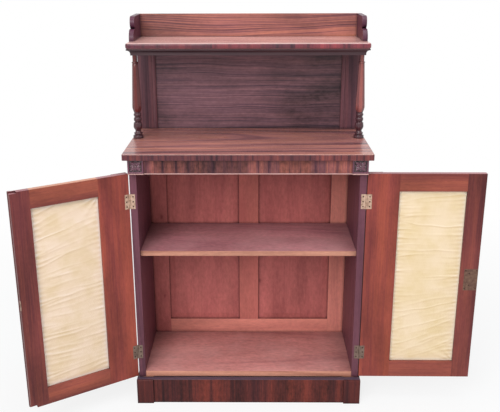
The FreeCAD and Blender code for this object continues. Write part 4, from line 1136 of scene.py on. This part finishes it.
@dataclass
class PateraBlock:
    """A frieze block carved with a square flower: eight leaves, four pairs of scrolls and a boss.

    The flower's own sizes are in millimetres. A leaf is its tip's distance from the middle, its
    half width and its height as a share of the carving's depth.
    """

    side: Side
    shop: Workshop
    border: float = 0.005
    border_slope: float = 0.0009
    depth: float = 0.0035
    arris: float = 0.0008
    arris_fall: float = 0.0006
    points_across: int = 132
    leaf_root: float = 4.2
    corner_leaf: tuple[float, float, float] = (24.5, 5.4, 1.0)
    side_leaf: tuple[float, float, float] = (17.5, 4.6, 0.86)
    scroll_places: tuple[tuple[float, float], ...] = ((8.0, 17.6), (17.6, 8.0))
    coil_radius: float = 2.4
    boss_radius: float = 4.8
    crease: float = 50.0

    def leaf(self, along: np.ndarray, aside: np.ndarray, tip: float, width: float) -> np.ndarray:
        """Carve one leaf with a midrib and a curled tip.

        The leaf's half width is width * sin(pi * s ^ 0.8), where s runs from root to tip, and its
        height falls off as a half circle from a hollow midrib.

        Args:
            along: distance from the flower's middle along the leaf.
            aside: distance from the leaf's middle line.
            tip: where the leaf ends.
            width: its largest half width.

        Returns:
            Height from 0 to 1.
        """
        share = np.clip((along - self.leaf_root) / (tip - self.leaf_root), 0, 1)
        half = width * np.sin(math.pi * share ** 0.8) + 1e-6
        inside = np.clip(1 - (aside / half) ** 2, 0, 1)
        hollow = 1 - 0.45 * bell(aside, 0.16 * width)
        curl = 0.62 + 0.38 * bell(share - 0.8, 0.16)
        ripple = 1 - 0.14 * np.abs(np.sin(share * 15 + np.abs(aside) / width * 2.2))
        within = (along > self.leaf_root) & (along < tip)
        return np.where(within, np.sqrt(inside) * hollow * curl * ripple, 0.0)

    def relief(self, x: np.ndarray, z: np.ndarray) -> np.ndarray:
        """Return the carving's height above the sunk ground, 0 to 1, at places in millimetres.

        Args:
            x: distance to the right of the flower's middle.
            z: distance above it.

        Returns:
            The highest of all leaves, scrolls and the boss at each place.
        """
        reach = np.hypot(x, z)
        angle = np.arctan2(z, x)
        height = np.zeros_like(x)
        for eighth in range(8):
            turn = (angle - eighth * math.pi / 4 + math.pi) % FULL_TURN - math.pi
            tip, width, share = self.corner_leaf if eighth % 2 else self.side_leaf
            leaf = self.leaf(reach * np.cos(turn), reach * np.sin(turn), tip, width)
            height = np.maximum(height, leaf * share)
        for place_x, place_z in self.scroll_places:
            away = np.hypot(np.abs(x) - place_x, np.abs(z) - place_z)
            coil = bell(away - self.coil_radius, 0.75) * 0.75 + bell(away, 0.9) * 0.7
            height = np.maximum(height, coil)
        boss = np.sqrt(np.clip(1 - (reach / self.boss_radius) ** 2, 0, 1))
        return np.maximum(height, boss - 0.35 * bell(reach - self.boss_radius / 2, 0.6))

    def build(self) -> bpy.types.Object:
        """Carve the block: depth = ground + relief inside the border, and flush on it.

        Returns:
            The finished block.
        """
        name = f"frieze_block_{self.side.word}"
        (low, face, foot), (high, back, head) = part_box(name)
        count = self.points_across
        x, z = np.meshgrid(np.linspace(low, high, count), np.linspace(foot, head, count), indexing="ij")
        from_edge = np.minimum(np.minimum(x - low, high - x), np.minimum(z - foot, head - z))
        squat = (high - low - 2 * self.border) / (head - foot - 2 * self.border)
        relief = self.relief((x - (low + high) / 2) / MM, (z - (foot + head) / 2) / MM * squat)
        wall = np.clip((from_edge - self.border) / self.border_slope, 0, 1)
        wall = wall * wall * (3 - 2 * wall)
        sunk = self.depth * wall * (1 - np.clip(relief, 0, 1))
        arris = np.clip(1 - from_edge / self.arris, 0, 1) ** 2 * self.arris_fall
        front = np.stack([x, face + sunk + arris, z], axis=-1).reshape(-1, 3)
        rim = rim_numbers(count, count)
        behind = front[rim] * (1, 0, 1) + (0, back, 0)
        back_rim = count * count + np.arange(len(rim))
        faces = grid_quads(count, count).tolist() + join_rims(rim, back_rim) + [back_rim[::-1].tolist()]
        piece = new_piece(f"carved_{name}", np.concatenate([front, behind]), faces, "carcase",
                          Slot.ROSEWOOD, self.crease)
        level = np.where(wall > 0.5, relief, 0.5).ravel()
        mark_points(piece, "carved", np.concatenate([level, np.full(len(rim), 0.5)]))
        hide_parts(name)
        cut = Cut(Way.UP, Way.BACK, (0.0, 0.1, 0.07))
        wood = self.shop.wood(f"carved_wood_{self.side.word}", CARVED, cut, carving=Carving())
        self.shop.put(piece, wood)
        return piece


@dataclass(frozen=True)
class ScrewPlace:
    """Where a screw's head sits, the way it faces and how its slot is turned."""

    at: Point
    out: Point
    slot_turn: float


@dataclass
class Screws:
    """Slotted countersunk screws that share one mesh, low enough for closed leaves to clear them.

    The dome's rows are a ring's share of the head's radius and of its rise.
    """

    name: str
    body: str
    places: Sequence[ScrewPlace]
    material: bpy.types.Material
    radius: float = 0.0026
    rise: float = 0.00026
    slot_half: float = 0.00042
    slot_deep: float = 0.0002
    slot_floor: float = 0.12
    around: int = 24
    dome: tuple[tuple[float, float], ...] = (
        (1.0, -0.35), (1.0, 0.25), (0.94, 0.55), (0.8, 0.8), (0.6, 0.92), (0.4, 0.98), (0.2, 1.0))

    def head(self) -> np.ndarray:
        """Shape one head: height = a low dome, less the slot where the place is near its line.

        Returns:
            Rings of points of shape (rows, around, 3), the outermost first, facing +Z.
        """
        share, level = np.array(self.dome).T[:, :, None]
        angle = np.arange(self.around) * FULL_TURN / self.around
        x = share * self.radius * np.cos(angle)
        y = share * self.radius * np.sin(angle)
        height = level * self.rise * np.ones_like(x)
        cut = np.where(np.abs(y) < self.slot_half, self.slot_deep, 0.0)
        height[1:] = np.maximum(height[1:] - cut[1:], self.slot_floor * self.rise)
        return np.stack([x, y, height], axis=-1)

    def build(self) -> bpy.types.Object:
        """Set a head at each place.

        Returns:
            The finished screws as one piece.
        """
        points, faces = [], []
        head = self.head()
        for place in self.places:
            out = Vector(place.out).normalized()
            along = Vector(Way.UP).cross(out).normalized()
            turn = Matrix((along, out.cross(along), out)).transposed()
            spin = Matrix.Rotation(place.slot_turn, 3, "Z")
            rings = head @ np.array(turn @ spin).T + np.array(place.at)
            own_points, own_faces = capped_rings(rings)
            start = sum(len(part) for part in points)
            points.append(own_points)
            faces += [[start + number for number in face] for face in own_faces]
        piece = new_piece(self.name, np.concatenate(points), faces, self.body, Slot.BRASS)
        Workshop.put(piece, self.material)
        return piece


@dataclass
class SilkPanel:
    """One door's stretched silk, in the closed door's place before it is swung open.

    Sizes are in metres, but strengths of folds and the hidden width in the rebate in millimetres.
    """

    seed: int
    finish: SilkFinish = SilkFinish()
    width: float = 0.2419
    height: float = 0.6574
    inner: float = 0.0553
    foot: float = 0.1523
    middle_y: float = 0.00035
    thickness: float = 0.0005
    columns: int = 120
    rows: int = 330
    crease_count: int = 46
    leans: tuple[float, ...] = (0.14, 0.0, 0.04, 0.1, 0.3, 0.4)
    fine: float = 0.75
    pulls: float = 0.6
    corner_top: float = 0.8
    corner_foot: float = 0.0
    limit: float = 0.95
    hidden: float = 7.7
    # Strength of the painted light and shade on the folds' slopes.
    shine: float = 1.5
    crease: float = 70.0

    def lean(self, up: np.ndarray) -> np.ndarray:
        """Return how much a crease at each height rises per millimetre across."""
        return np.interp(up, np.linspace(0, self.height / MM, len(self.leans)), self.leans)

    def grid(self) -> tuple[np.ndarray, np.ndarray]:
        """Return each point's height over the foot and distance from the meeting stile, in metres."""
        return np.meshgrid(np.linspace(0, self.height, self.rows), np.linspace(0, self.width, self.columns),
                           indexing="ij")

    def creases(self, across: np.ndarray, up: np.ndarray) -> np.ndarray:
        """Return the creases: each is a narrow bell-shaped ridge along a line that leans and sags.

        Args:
            across: distance from the meeting stile in millimetres.
            up: distance from the foot in millimetres.

        Returns:
            Height of the creases in millimetres.
        """
        chance = np.random.default_rng(self.seed)
        width, height = self.width / MM, self.height / MM
        total = np.zeros_like(across)
        for start in np.linspace(-30, height + 10, self.crease_count):
            level = start + chance.normal(0, 6)
            lean = self.lean(level) + chance.normal(0, 0.035)
            sag = chance.uniform(-9, 7)
            wobble = 1.6 * np.sin(across / chance.uniform(14, 34) + chance.uniform(0, ABOUT_A_TURN))
            line = level + lean * across + sag * np.sin(math.pi * across / width) + wobble
            middle, reach = chance.choice((0.0, 0.35, 1.0)) * width, chance.uniform(40, 150)
            girth = chance.uniform(2.4, 5.2)
            total += chance.uniform(0.35, 1.0) * bell(across - middle, reach) * bell(up - line, girth)
        slow = np.sin(up / 23 + 1.6 * np.sin(across / 57 + self.seed) - self.lean(up) * across / 23)
        return total + 0.35 * slow

    def relief(self, across: np.ndarray, up: np.ndarray) -> np.ndarray:
        """Return the cloth's height off its middle plane in millimetres.

        Args:
            across: distance from the meeting stile in millimetres.
            up: distance from the foot in millimetres.

        Returns:
            The creases, plus short pulls that fan in from the tacks on both sides, plus folds
            that radiate from a corner and die away with distance, held inside the panel's depth.
        """
        width, height = self.width / MM, self.height / MM
        chance = np.random.default_rng(self.seed + 7)
        total = self.fine * (self.creases(across, up) - 0.5)
        for edge in (across, width - across):
            tack = chance.uniform(15, 18)
            drift = chance.uniform(0, ABOUT_A_TURN)
            fan = np.sin(up / tack * ABOUT_A_TURN + drift + 0.6 * np.sin(up / 53) + edge / 60)
            total += self.pulls * fan * np.exp(-edge / 20)
        for strength, corner_x, corner_z in ((self.corner_top, width, height), (self.corner_foot, 0, 0)):
            reach = np.hypot(across - corner_x, up - corner_z) + 1e-3
            bearing = np.arctan2(np.abs(up - corner_z), np.abs(corner_x - across) + 1e-6)
            fold = np.sin(bearing * 15 + reach / 75)
            total += strength * fold * np.exp(-reach / 105) * np.clip(reach / 35, 0, 1)
        return np.tanh(total / self.limit) * self.limit

    def shading(self) -> np.ndarray:
        """Return painted light and shade for each place of the cloth, 0 to 1.

        Slopes that look up get a painted highlight and those that look down painted shade, so the value
        is 0.5 plus the slope up the cloth, with a painted highlight along the sight edge.

        Returns:
            Values of shape (rows, columns).
        """
        up, across = (part / MM for part in self.grid())
        relief = self.relief(across, up)
        slope = np.gradient(relief, up[:, 0], axis=0) + 0.35 * np.gradient(relief, across[0], axis=1)
        edge = np.minimum(np.minimum(across, self.width / MM - across),
                          np.minimum(up, self.height / MM - up)) - self.hidden
        # A painted highlight along the sight edge.
        edge_light = bell(edge - 1.5, 1.6) * 0.3 + bell(edge, 9) * 0.28
        return np.clip(0.5 - slope * self.shine + edge_light, 0, 1)

    def closed_points(self) -> np.ndarray:
        """Return the cloth's front and back points in the closed door, the right door's side.

        Returns:
            Points of shape (2, rows, columns, 3), in metres.
        """
        up, across = self.grid()
        middle = self.middle_y + self.relief(across / MM, up / MM) * MM
        return np.stack([np.stack([self.inner + across, middle + off, self.foot + up], axis=-1)
                         for off in (self.thickness / 2, -self.thickness / 2)])


@dataclass
class Door:
    """A door: mortised frame, silk panel, sight moulding, pilaster and ironmongery.

    Its places are those of the closed door, and it is swung to where it stands open.
    """

    side: Side
    shop: Workshop
    panel: SilkPanel
    inside_y: float = 0.011
    leaf_proud: float = 0.0002
    leaf_length: float = 0.052
    screw_x: float = 0.3886
    screw_step: float = 0.0175
    lock_screws_x: tuple[float, float] = (0.006, 0.044)
    lock_screw_rise: float = 0.034
    lock_screw_radius: float = 0.0022
    rivets: tuple[tuple[float, float], ...] = ((0.031, -0.021), (0.031, 0.024))
    slot_turns: tuple[float, float] = (0.0, 3.1)
    frame_parts: tuple[str, ...] = ("hinge_stile", "meeting_stile", "bottom_rail", "top_rail")

    def __post_init__(self) -> None:
        """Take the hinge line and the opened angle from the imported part's joint."""
        self.body = f"door_{self.side.word}"
        joint = next(joint for joint in frame["joints"] if joint["name"] == f"{self.body}_hinge")
        opened = -math.radians(max(joint["range_deg"], key=abs))
        self.pivot = np.array([*joint["pos_m"][:2], 0.0])
        self.turn = np.array(Matrix.Rotation(opened, 3, "Z"))

    def swing(self, points: np.ndarray) -> np.ndarray:
        """Swing points of the closed door to where the door stands open.

        Args:
            points: points with X, Y and Z last, in metres.

        Returns:
            The same points turned about the hinge line.
        """
        return (points - self.pivot) @ self.turn.T + self.pivot

    def swung_way(self, way: Point) -> Point:
        """Return a way of the closed door as it points once the door stands open."""
        return tuple((self.turn @ np.array(way)).tolist())

    def hang_silk(self) -> bpy.types.Object:
        """Stretch the silk: height off the panel's plane as SilkPanel gives it, swung with the door.

        Returns:
            The silk, with its own map in metres.
        """
        sheets = self.panel.closed_points() * (self.side.value, 1, 1)
        rows, columns = sheets.shape[1:3]
        flat = sheets.reshape(-1, 3)
        count = rows * columns
        quads = grid_quads(rows, columns)
        rim = rim_numbers(rows, columns)
        after = np.roll(rim, -1)
        hem = np.stack([rim, after, after + count, rim + count], axis=-1)
        piece = new_piece(f"stretched_silk_{self.side.word}", self.swing(flat),
                          np.concatenate([quads, quads[:, ::-1] + count, hem]), self.body, Slot.SILK,
                          self.panel.crease)
        corner = np.zeros(len(piece.data.loops), dtype=np.int32)
        piece.data.loops.foreach_get("vertex_index", corner)
        cloth = piece.data.uv_layers.new(name="cloth")
        cloth.data.foreach_set("uv", flat[corner][:, [0, 2]].astype(np.float32).ravel())
        # Keep the painted light and shade at each point for the material.
        mark_points(piece, "shine", np.tile(self.panel.shading().ravel(), 2))
        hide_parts(f"{self.body}_silk")
        self.shop.put(piece, self.shop.silk(f"silk_{self.side.word}", self.panel.finish))
        return piece

    def set_screws(self) -> None:
        """Set three slotted screws in each hinge leaf, on the door and on the carcase."""
        brass = self.shop.brass(f"screw_brass_{self.side.word}", SCREW_BRASS)
        chance = np.random.default_rng(11 + self.side.value)
        x = self.side.value * self.screw_x
        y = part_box(f"side_{self.side.word}")[0][1] - self.leaf_proud
        (_, _, low), (_, _, high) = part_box("hinge_leaves_carcase")
        middles = (low + self.leaf_length / 2, high - self.leaf_length / 2)
        out = self.swung_way(Way.BACK)
        on_door, on_side = [], []
        for z in [middle + step * self.screw_step for middle in middles for step in (-1, 0, 1)]:
            at = self.swing(np.array([x, self.inside_y + self.leaf_proud, z]))
            on_door.append(ScrewPlace(tuple(at), out, chance.uniform(*self.slot_turns)))
            on_side.append(ScrewPlace((x, y, z), Way.FRONT, chance.uniform(*self.slot_turns)))
        Screws(f"hinge_screws_{self.body}", self.body, on_door, brass).build()
        Screws(f"hinge_screws_carcase_{self.side.word}", "carcase", on_side, brass).build()

    def set_lock_screws(self) -> None:
        """Set the four corner screws of the lock's back plate, and the two rivets of its works."""
        chance = np.random.default_rng(23)
        (_, _, low), (_, _, high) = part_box("lock_case")
        rises = (-self.lock_screw_rise, self.lock_screw_rise)
        places = [(x, rise) for x in self.lock_screws_x for rise in rises] + list(self.rivets)
        out = self.swung_way(Way.BACK)
        heads = []
        for x, rise in places:
            at = self.swing(np.array([x, self.inside_y, (low + high) / 2 + rise]))
            heads.append(ScrewPlace(tuple(at), out, chance.uniform(*self.slot_turns)))
        brass = self.shop.brass("lock_screw_brass", SCREW_BRASS)
        Screws("lock_screws", self.body, heads, brass, self.lock_screw_radius).build()

    def dress(self) -> None:
        """Give every board and fitting of the door its finish."""
        along, face = self.swung_way(Way.ACROSS), self.swung_way(Way.BACK)
        left, sign = self.side is Side.LEFT, self.side.value
        top_cut = Cut(along, face, (1.1, 0.0, 0.05))
        rail_top = OtherFace(Way.UP, DOOR_EDGE if left else DOOR_EDGE_DARK, top_cut)
        stile_top = OtherFace(Way.UP, DOOR_EDGE_DARK, top_cut)
        meeting_cut = Cut(Way.UP, face, (1.8 if left else 1.3, 0.22 * sign, 0.04))
        boards: dict[str, Board] = {
            "hinge_stile": (DOOR_STILE, Cut(Way.UP, face, (0.3, 0.1 * sign, 0.06)), stile_top),
            "meeting_stile": (MEETING_STILE, meeting_cut, stile_top),
            "bottom_rail": (DOOR_RAIL, Cut(along, face, (2.1, 0.0, 0.05))),
            "top_rail": (DOOR_RAIL, Cut(along, face, (3.4, -0.8, 0.08)), rail_top),
            "sight_moulding": (ROSEWOOD, Cut(Way.UP, face, (0.9, 0.0, 0.05))),
            "pilaster": (ROSEWOOD, Cut(Way.UP, face, (4.2, 0.1, 0.05))),
        }
        if left:
            boards["astragal"] = (ROSEWOOD, Cut(Way.UP, face, (5.0, 0.0, 0.05)))
        for part, board in boards.items():
            self.shop.dress_board(f"{self.body}_{part}", *board)
        self.shop.dress_fitting(f"{self.body}_hinge_leaves", PALE_BRASS)

    def build(self) -> None:
        """Dress the door and add its silk, screws and the fittings of its meeting stile."""
        self.dress()
        self.hang_silk()
        self.set_screws()
        if self.side is Side.LEFT:
            self.shop.dress_fitting("strike_plate", PALE_BRASS)
            return
        for name in ("lock_case", "lock_bolt", "keyhole_liner"):
            self.shop.dress_fitting(name, AGED_BRASS)
        self.set_lock_screws()


@dataclass
class Carcase:
    """The cupboard: sides, shelves, framed back, frieze, plinth and lower top."""

    shop: Workshop
    raw_upright: OtherFace = OtherFace(Way.BACK, PLAIN_DEAL, Cut(Way.UP, Way.BACK, (1.4, 0.1, -0.3)))

    def middle_boards(self) -> dict[str, Board]:
        """Choose the woods of the boards that the cupboard has once.

        Returns:
            The finish and cut of each board.
        """
        up, across, back = Way.UP, Way.ACROSS, Way.BACK
        edge_cut = Cut(across, back, (0.4, 0.0, 0.05))
        raw_rail = OtherFace(back, PLAIN_DEAL, Cut(across, back, (0.7, 0.1, -0.3)))
        return {
            "bottom_board": (BOTTOM_WOOD, Cut(across, up, (0.0, -0.2, 0.06)),
                             OtherFace(Way.FRONT, BOTTOM_EDGE, edge_cut)),
            "shelf_middle": (SHELF_WOOD, Cut(across, up, (1.9, -0.1, -0.5)),
                             OtherFace(Way.FRONT, SHELF_EDGE, edge_cut)),
            "top_rail_front": (PLAIN_DEAL, Cut(across, up)),
            "top_rail_back": (PLAIN_DEAL, Cut(across, up)),
            "frieze_board": (CROSSBAND, Cut(up, back, (0.0, 0.0, 0.07))),
            "frieze_bead": (LIT_FRIEZE_BEAD, Cut(across, back)),
            "plinth_front": (PLINTH_BAND, Cut(up, back, (0.2, 0.4, 0.06)),
                             OtherFace(up, LEDGE, Cut(across, up, (0.0, 0.3, 0.05)))),
            "plinth_back": (PLAIN_DEAL, Cut(across, back)),
            "plinth_glue_blocks": (PLAIN_DEAL, Cut(up, back)),
            "top_board": (ROSEWOOD_TOP, Cut(across, up, (0.6, -0.22, -0.88)),
                          OtherFace(up, EDGE_BAND, Cut(up, back, (0.1, 0.0, 0.05)), away=True)),
            "back_rail_bottom": (PINE_FRAME, Cut(across, back, (0.0, -0.1, -0.27)), raw_rail),
            "back_rail_top": (PINE_FRAME, Cut(across, back, (1.0, -0.8, -0.25)), raw_rail),
            "back_muntin": (MUNTIN, Cut(up, back, (2.0, 0.05, -0.26)), self.raw_upright),
        }

    def side_boards(self, side: Side) -> dict[str, Board]:
        """Choose the woods of the boards that stand on both sides.

        Args:
            side: the side.

        Returns:
            The finish and cut of each board.
        """
        up, across, back = Way.UP, Way.ACROSS, Way.BACK
        word, sign = side.word, side.value
        away = 0.3 * sign
        veneer = OtherFace((float(sign), 0.0, 0.0), ROSEWOOD, Cut(up, across, (away, 0.0, 0.05)))
        stile = PINE_PANEL if side is Side.LEFT else PINE_FRAME
        return {
            f"side_{word}": (INNER_SIDE, Cut(up, across, (away, 0.0, 0.05 - 0.38 * sign)), veneer),
            f"back_stile_{word}": (stile, Cut(up, back, (3.0 + away, away, -0.26)), self.raw_upright),
            f"back_panel_{word}": (PINE_PANEL, Cut(up, back, (5.0 + away, 0.19 * sign, -0.27)),
                                   self.raw_upright),
            f"plinth_block_{word}": (PLINTH_BLOCK, Cut(up, back, (0.9, -away, 0.08))),
            f"plinth_side_{word}": (PLINTH_BAND, Cut(up, across, (0.7, away, 0.08))),
        }

    def build(self) -> None:
        """Dress every board, and carve both frieze blocks."""
        boards = self.middle_boards()
        for side in Side:
            boards |= self.side_boards(side)
        for name, board in boards.items():
            self.shop.dress_board(name, *board)
        self.shop.dress_fitting("hinge_leaves_carcase", PALE_BRASS)
        for side in Side:
            PateraBlock(side, self.shop).build()


@dataclass
class Superstructure:
    """The panelled back, columns, shelf and low gallery above the lower top."""

    shop: Workshop

    def build(self) -> None:
        """Dress every board and turn both columns."""
        up, across, back = Way.UP, Way.ACROSS, Way.BACK
        nose = OtherFace(up, NOSE_BAND, Cut(up, back, (0.3, 0.3, 0.05)), away=True)
        boards: dict[str, Board] = {
            "upper_back_panel": (ROSEWOOD_PANEL, Cut(across, back, (0.2, -1.1, -0.33))),
            "upper_shelf": (LIT_ROSEWOOD_SHELF, Cut(across, up, (2.2, -0.2, -1.2)), nose),
            "upper_shelf_moulding": (SHADED_MOULDING, Cut(across, back, (0.0, -1.2, 0.0))),
            "gallery_back": (ROSEWOOD_GALLERY, Cut(across, back, (4.0, -1.3, -0.33))),
        }
        for side in Side:
            word, away = side.word, 0.4 * side.value
            boards[f"upper_back_stile_{word}"] = (ROSEWOOD_STILE, Cut(up, back, (1.0, away, -0.32)))
            boards[f"upper_back_bead_{word}"] = (ROSEWOOD_STILE, Cut(up, back, (2.0, away, -0.3)))
            boards[f"gallery_end_{word}"] = (GALLERY_END, Cut(back, across, (away, -1.3, 0.0)))
        for name, board in boards.items():
            self.shop.dress_board(name, *board)
        for side in Side:
            Column(side, self.shop).build()


@dataclass(frozen=True)
class Lamp:
    """A soft square lamp: where it hangs, the point that it faces, its width and its power in watts."""

    name: str
    place: Point
    aim: Point
    size: float
    power: float

    def hang(self) -> None:
        """Put the lamp into the scene."""
        data = bpy.data.lights.new(self.name, "AREA")
        data.size = self.size
        data.energy = self.power
        facing = (Vector(self.aim) - Vector(self.place)).to_track_quat("-Z", "Y").to_matrix().to_4x4()
        add_object(self.name, data).matrix_world = Matrix.Translation(self.place) @ facing


@dataclass
class Studio:
    """The camera, the lamps and the pale floor, with turns in radians and the lens in pixels."""

    frame_width: int = 500
    frame_height: int = 412
    focal_pixels: float = 750.165
    middle_x: float = 247.423
    middle_y: float = 203.753
    sensor_width: float = 36.0
    place: Point = (0.02128, -2.40309, 1.54091)
    pitch: float = 0.313266
    yaw: float = 0.009685
    roll: float = -0.002765
    floor_half: float = 14.0
    shadow_reach: tuple[float, float] = (0.9, 2.6)
    lamps: tuple[Lamp, ...] = (Lamp("key", (-1.3, -3.2, 2.9), (0.0, 0.0, 0.7), 2.2, 105.0),
                               Lamp("overhead", (0.4, -0.4, 3.3), (0.0, 0.1, 0.8), 2.4, 45.0))

    def set_camera(self) -> None:
        """Make the camera from its focal length, middle point and three small turns."""
        data = bpy.data.cameras.new("camera")
        data.sensor_width = self.sensor_width
        data.sensor_fit = "HORIZONTAL"
        data.lens = self.focal_pixels * self.sensor_width / self.frame_width
        data.shift_x = (self.frame_width / 2 - self.middle_x) / self.frame_width
        data.shift_y = (self.middle_y - self.frame_height / 2) / self.frame_width
        data.clip_end = 100.0
        turn = (Matrix.Rotation(self.yaw, 4, "Z") @ Matrix.Rotation(math.pi / 2 - self.pitch, 4, "X")
                @ Matrix.Rotation(self.roll, 4, "Z"))
        camera = add_object("camera", data)
        camera.matrix_world = Matrix.Translation(self.place) @ turn
        bpy.context.scene.camera = camera

    @staticmethod
    def begin(owner: bpy.types.Material | bpy.types.World) -> tuple[Bench, Flow]:
        """Clear the nodes of a surface or world that is white to some rays only.

        Args:
            owner: the material or the world.

        Returns:
            Its bench, and 1 for rays from the camera, reflections and glass, and 0 for others.
        """
        owner.use_nodes = True
        owner.node_tree.nodes.clear()
        bench = Bench(owner.node_tree)
        camera, glossy, glass = (bench.flow("LightPath", out=f"Is {ray} Ray")
                                 for ray in ("Camera", "Glossy", "Transmission"))
        return bench, bench.maths("MAXIMUM", bench.maths("MAXIMUM", camera, glossy), glass)

    def set_floor(self) -> None:
        """Lay the floor: white to the camera and in reflections, with the object's own shadow."""
        mesh = bpy.data.meshes.new("floor")
        corners = [(x * self.floor_half, y * self.floor_half, 0.0)
                   for x, y in ((-1, -1), (1, -1), (1, 1), (-1, 1))]
        mesh.from_pydata(corners, [], [(0, 1, 2, 3)])
        add_object("floor", mesh)
        material = bpy.data.materials.new("pale_floor")
        bench, seen = self.begin(material)
        x, y, _ = bench.split(bench.flow("TexCoord", out="Object"))
        (_, front, _), (half_width, _, _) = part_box("plinth_front")
        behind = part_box("plinth_back")[1][1]
        beside = abs(x) / half_width
        before = abs(y - (front + behind) / 2) / ((behind - front) / 2)
        clear = bench.remap(bench.maths("MAXIMUM", beside, before), 0.96, 1.0)
        far = bench.maths("SQRT", x * x + y * y)
        share = seen * clear * bench.remap(far, *self.shadow_reach, 0.8, 1.0)
        plain = bench.flow("BsdfDiffuse", {"Color": (0.8, 0.8, 0.8, 1.0)})
        glow = bench.flow("Emission", {"Color": WHITE, "Strength": 1.0})
        bench.add("OutputMaterial", {"Surface": bench.flow("MixShader", {0: share, 1: plain, 2: glow})})
        mesh.materials.append(material)

    def set_world(self) -> None:
        """Light from all round, with a white background for the camera and for reflections."""
        world = bpy.data.worlds.new("studio")
        bpy.context.scene.world = world
        bench, seen = self.begin(world)
        dim = bench.flow("Background", {"Color": (0.93, 0.96, 1.0, 1.0), "Strength": 0.55})
        white = bench.flow("Background", {"Color": WHITE, "Strength": 1.0})
        bench.add("OutputWorld", {"Surface": bench.flow("MixShader", {0: seen, 1: dim, 2: white})})

    def build(self) -> None:
        """Set up everything that isn't the object."""
        self.set_camera()
        self.set_world()
        self.set_floor()
        for lamp in self.lamps:
            lamp.hang()
        bpy.context.scene.view_settings.view_transform = "Standard"


def main() -> None:
    """Build every sub-assembly in order."""
    logging.basicConfig(level=logging.INFO, format="%(message)s")
    shop = Workshop()
    Studio().build()
    Carcase(shop).build()
    Superstructure(shop).build()
    Door(Side.LEFT, shop, SilkPanel(seed=3)).build()
    right_silk = SilkPanel(seed=5, corner_top=0.2, corner_foot=0.5, finish=GOLD_SILK,
                           leans=(-0.22, -0.42, -0.3, -0.08, 0.03, 0.06, -0.05))
    Door(Side.RIGHT, shop, right_silk).build()


if __name__ == "__main__":
    main()
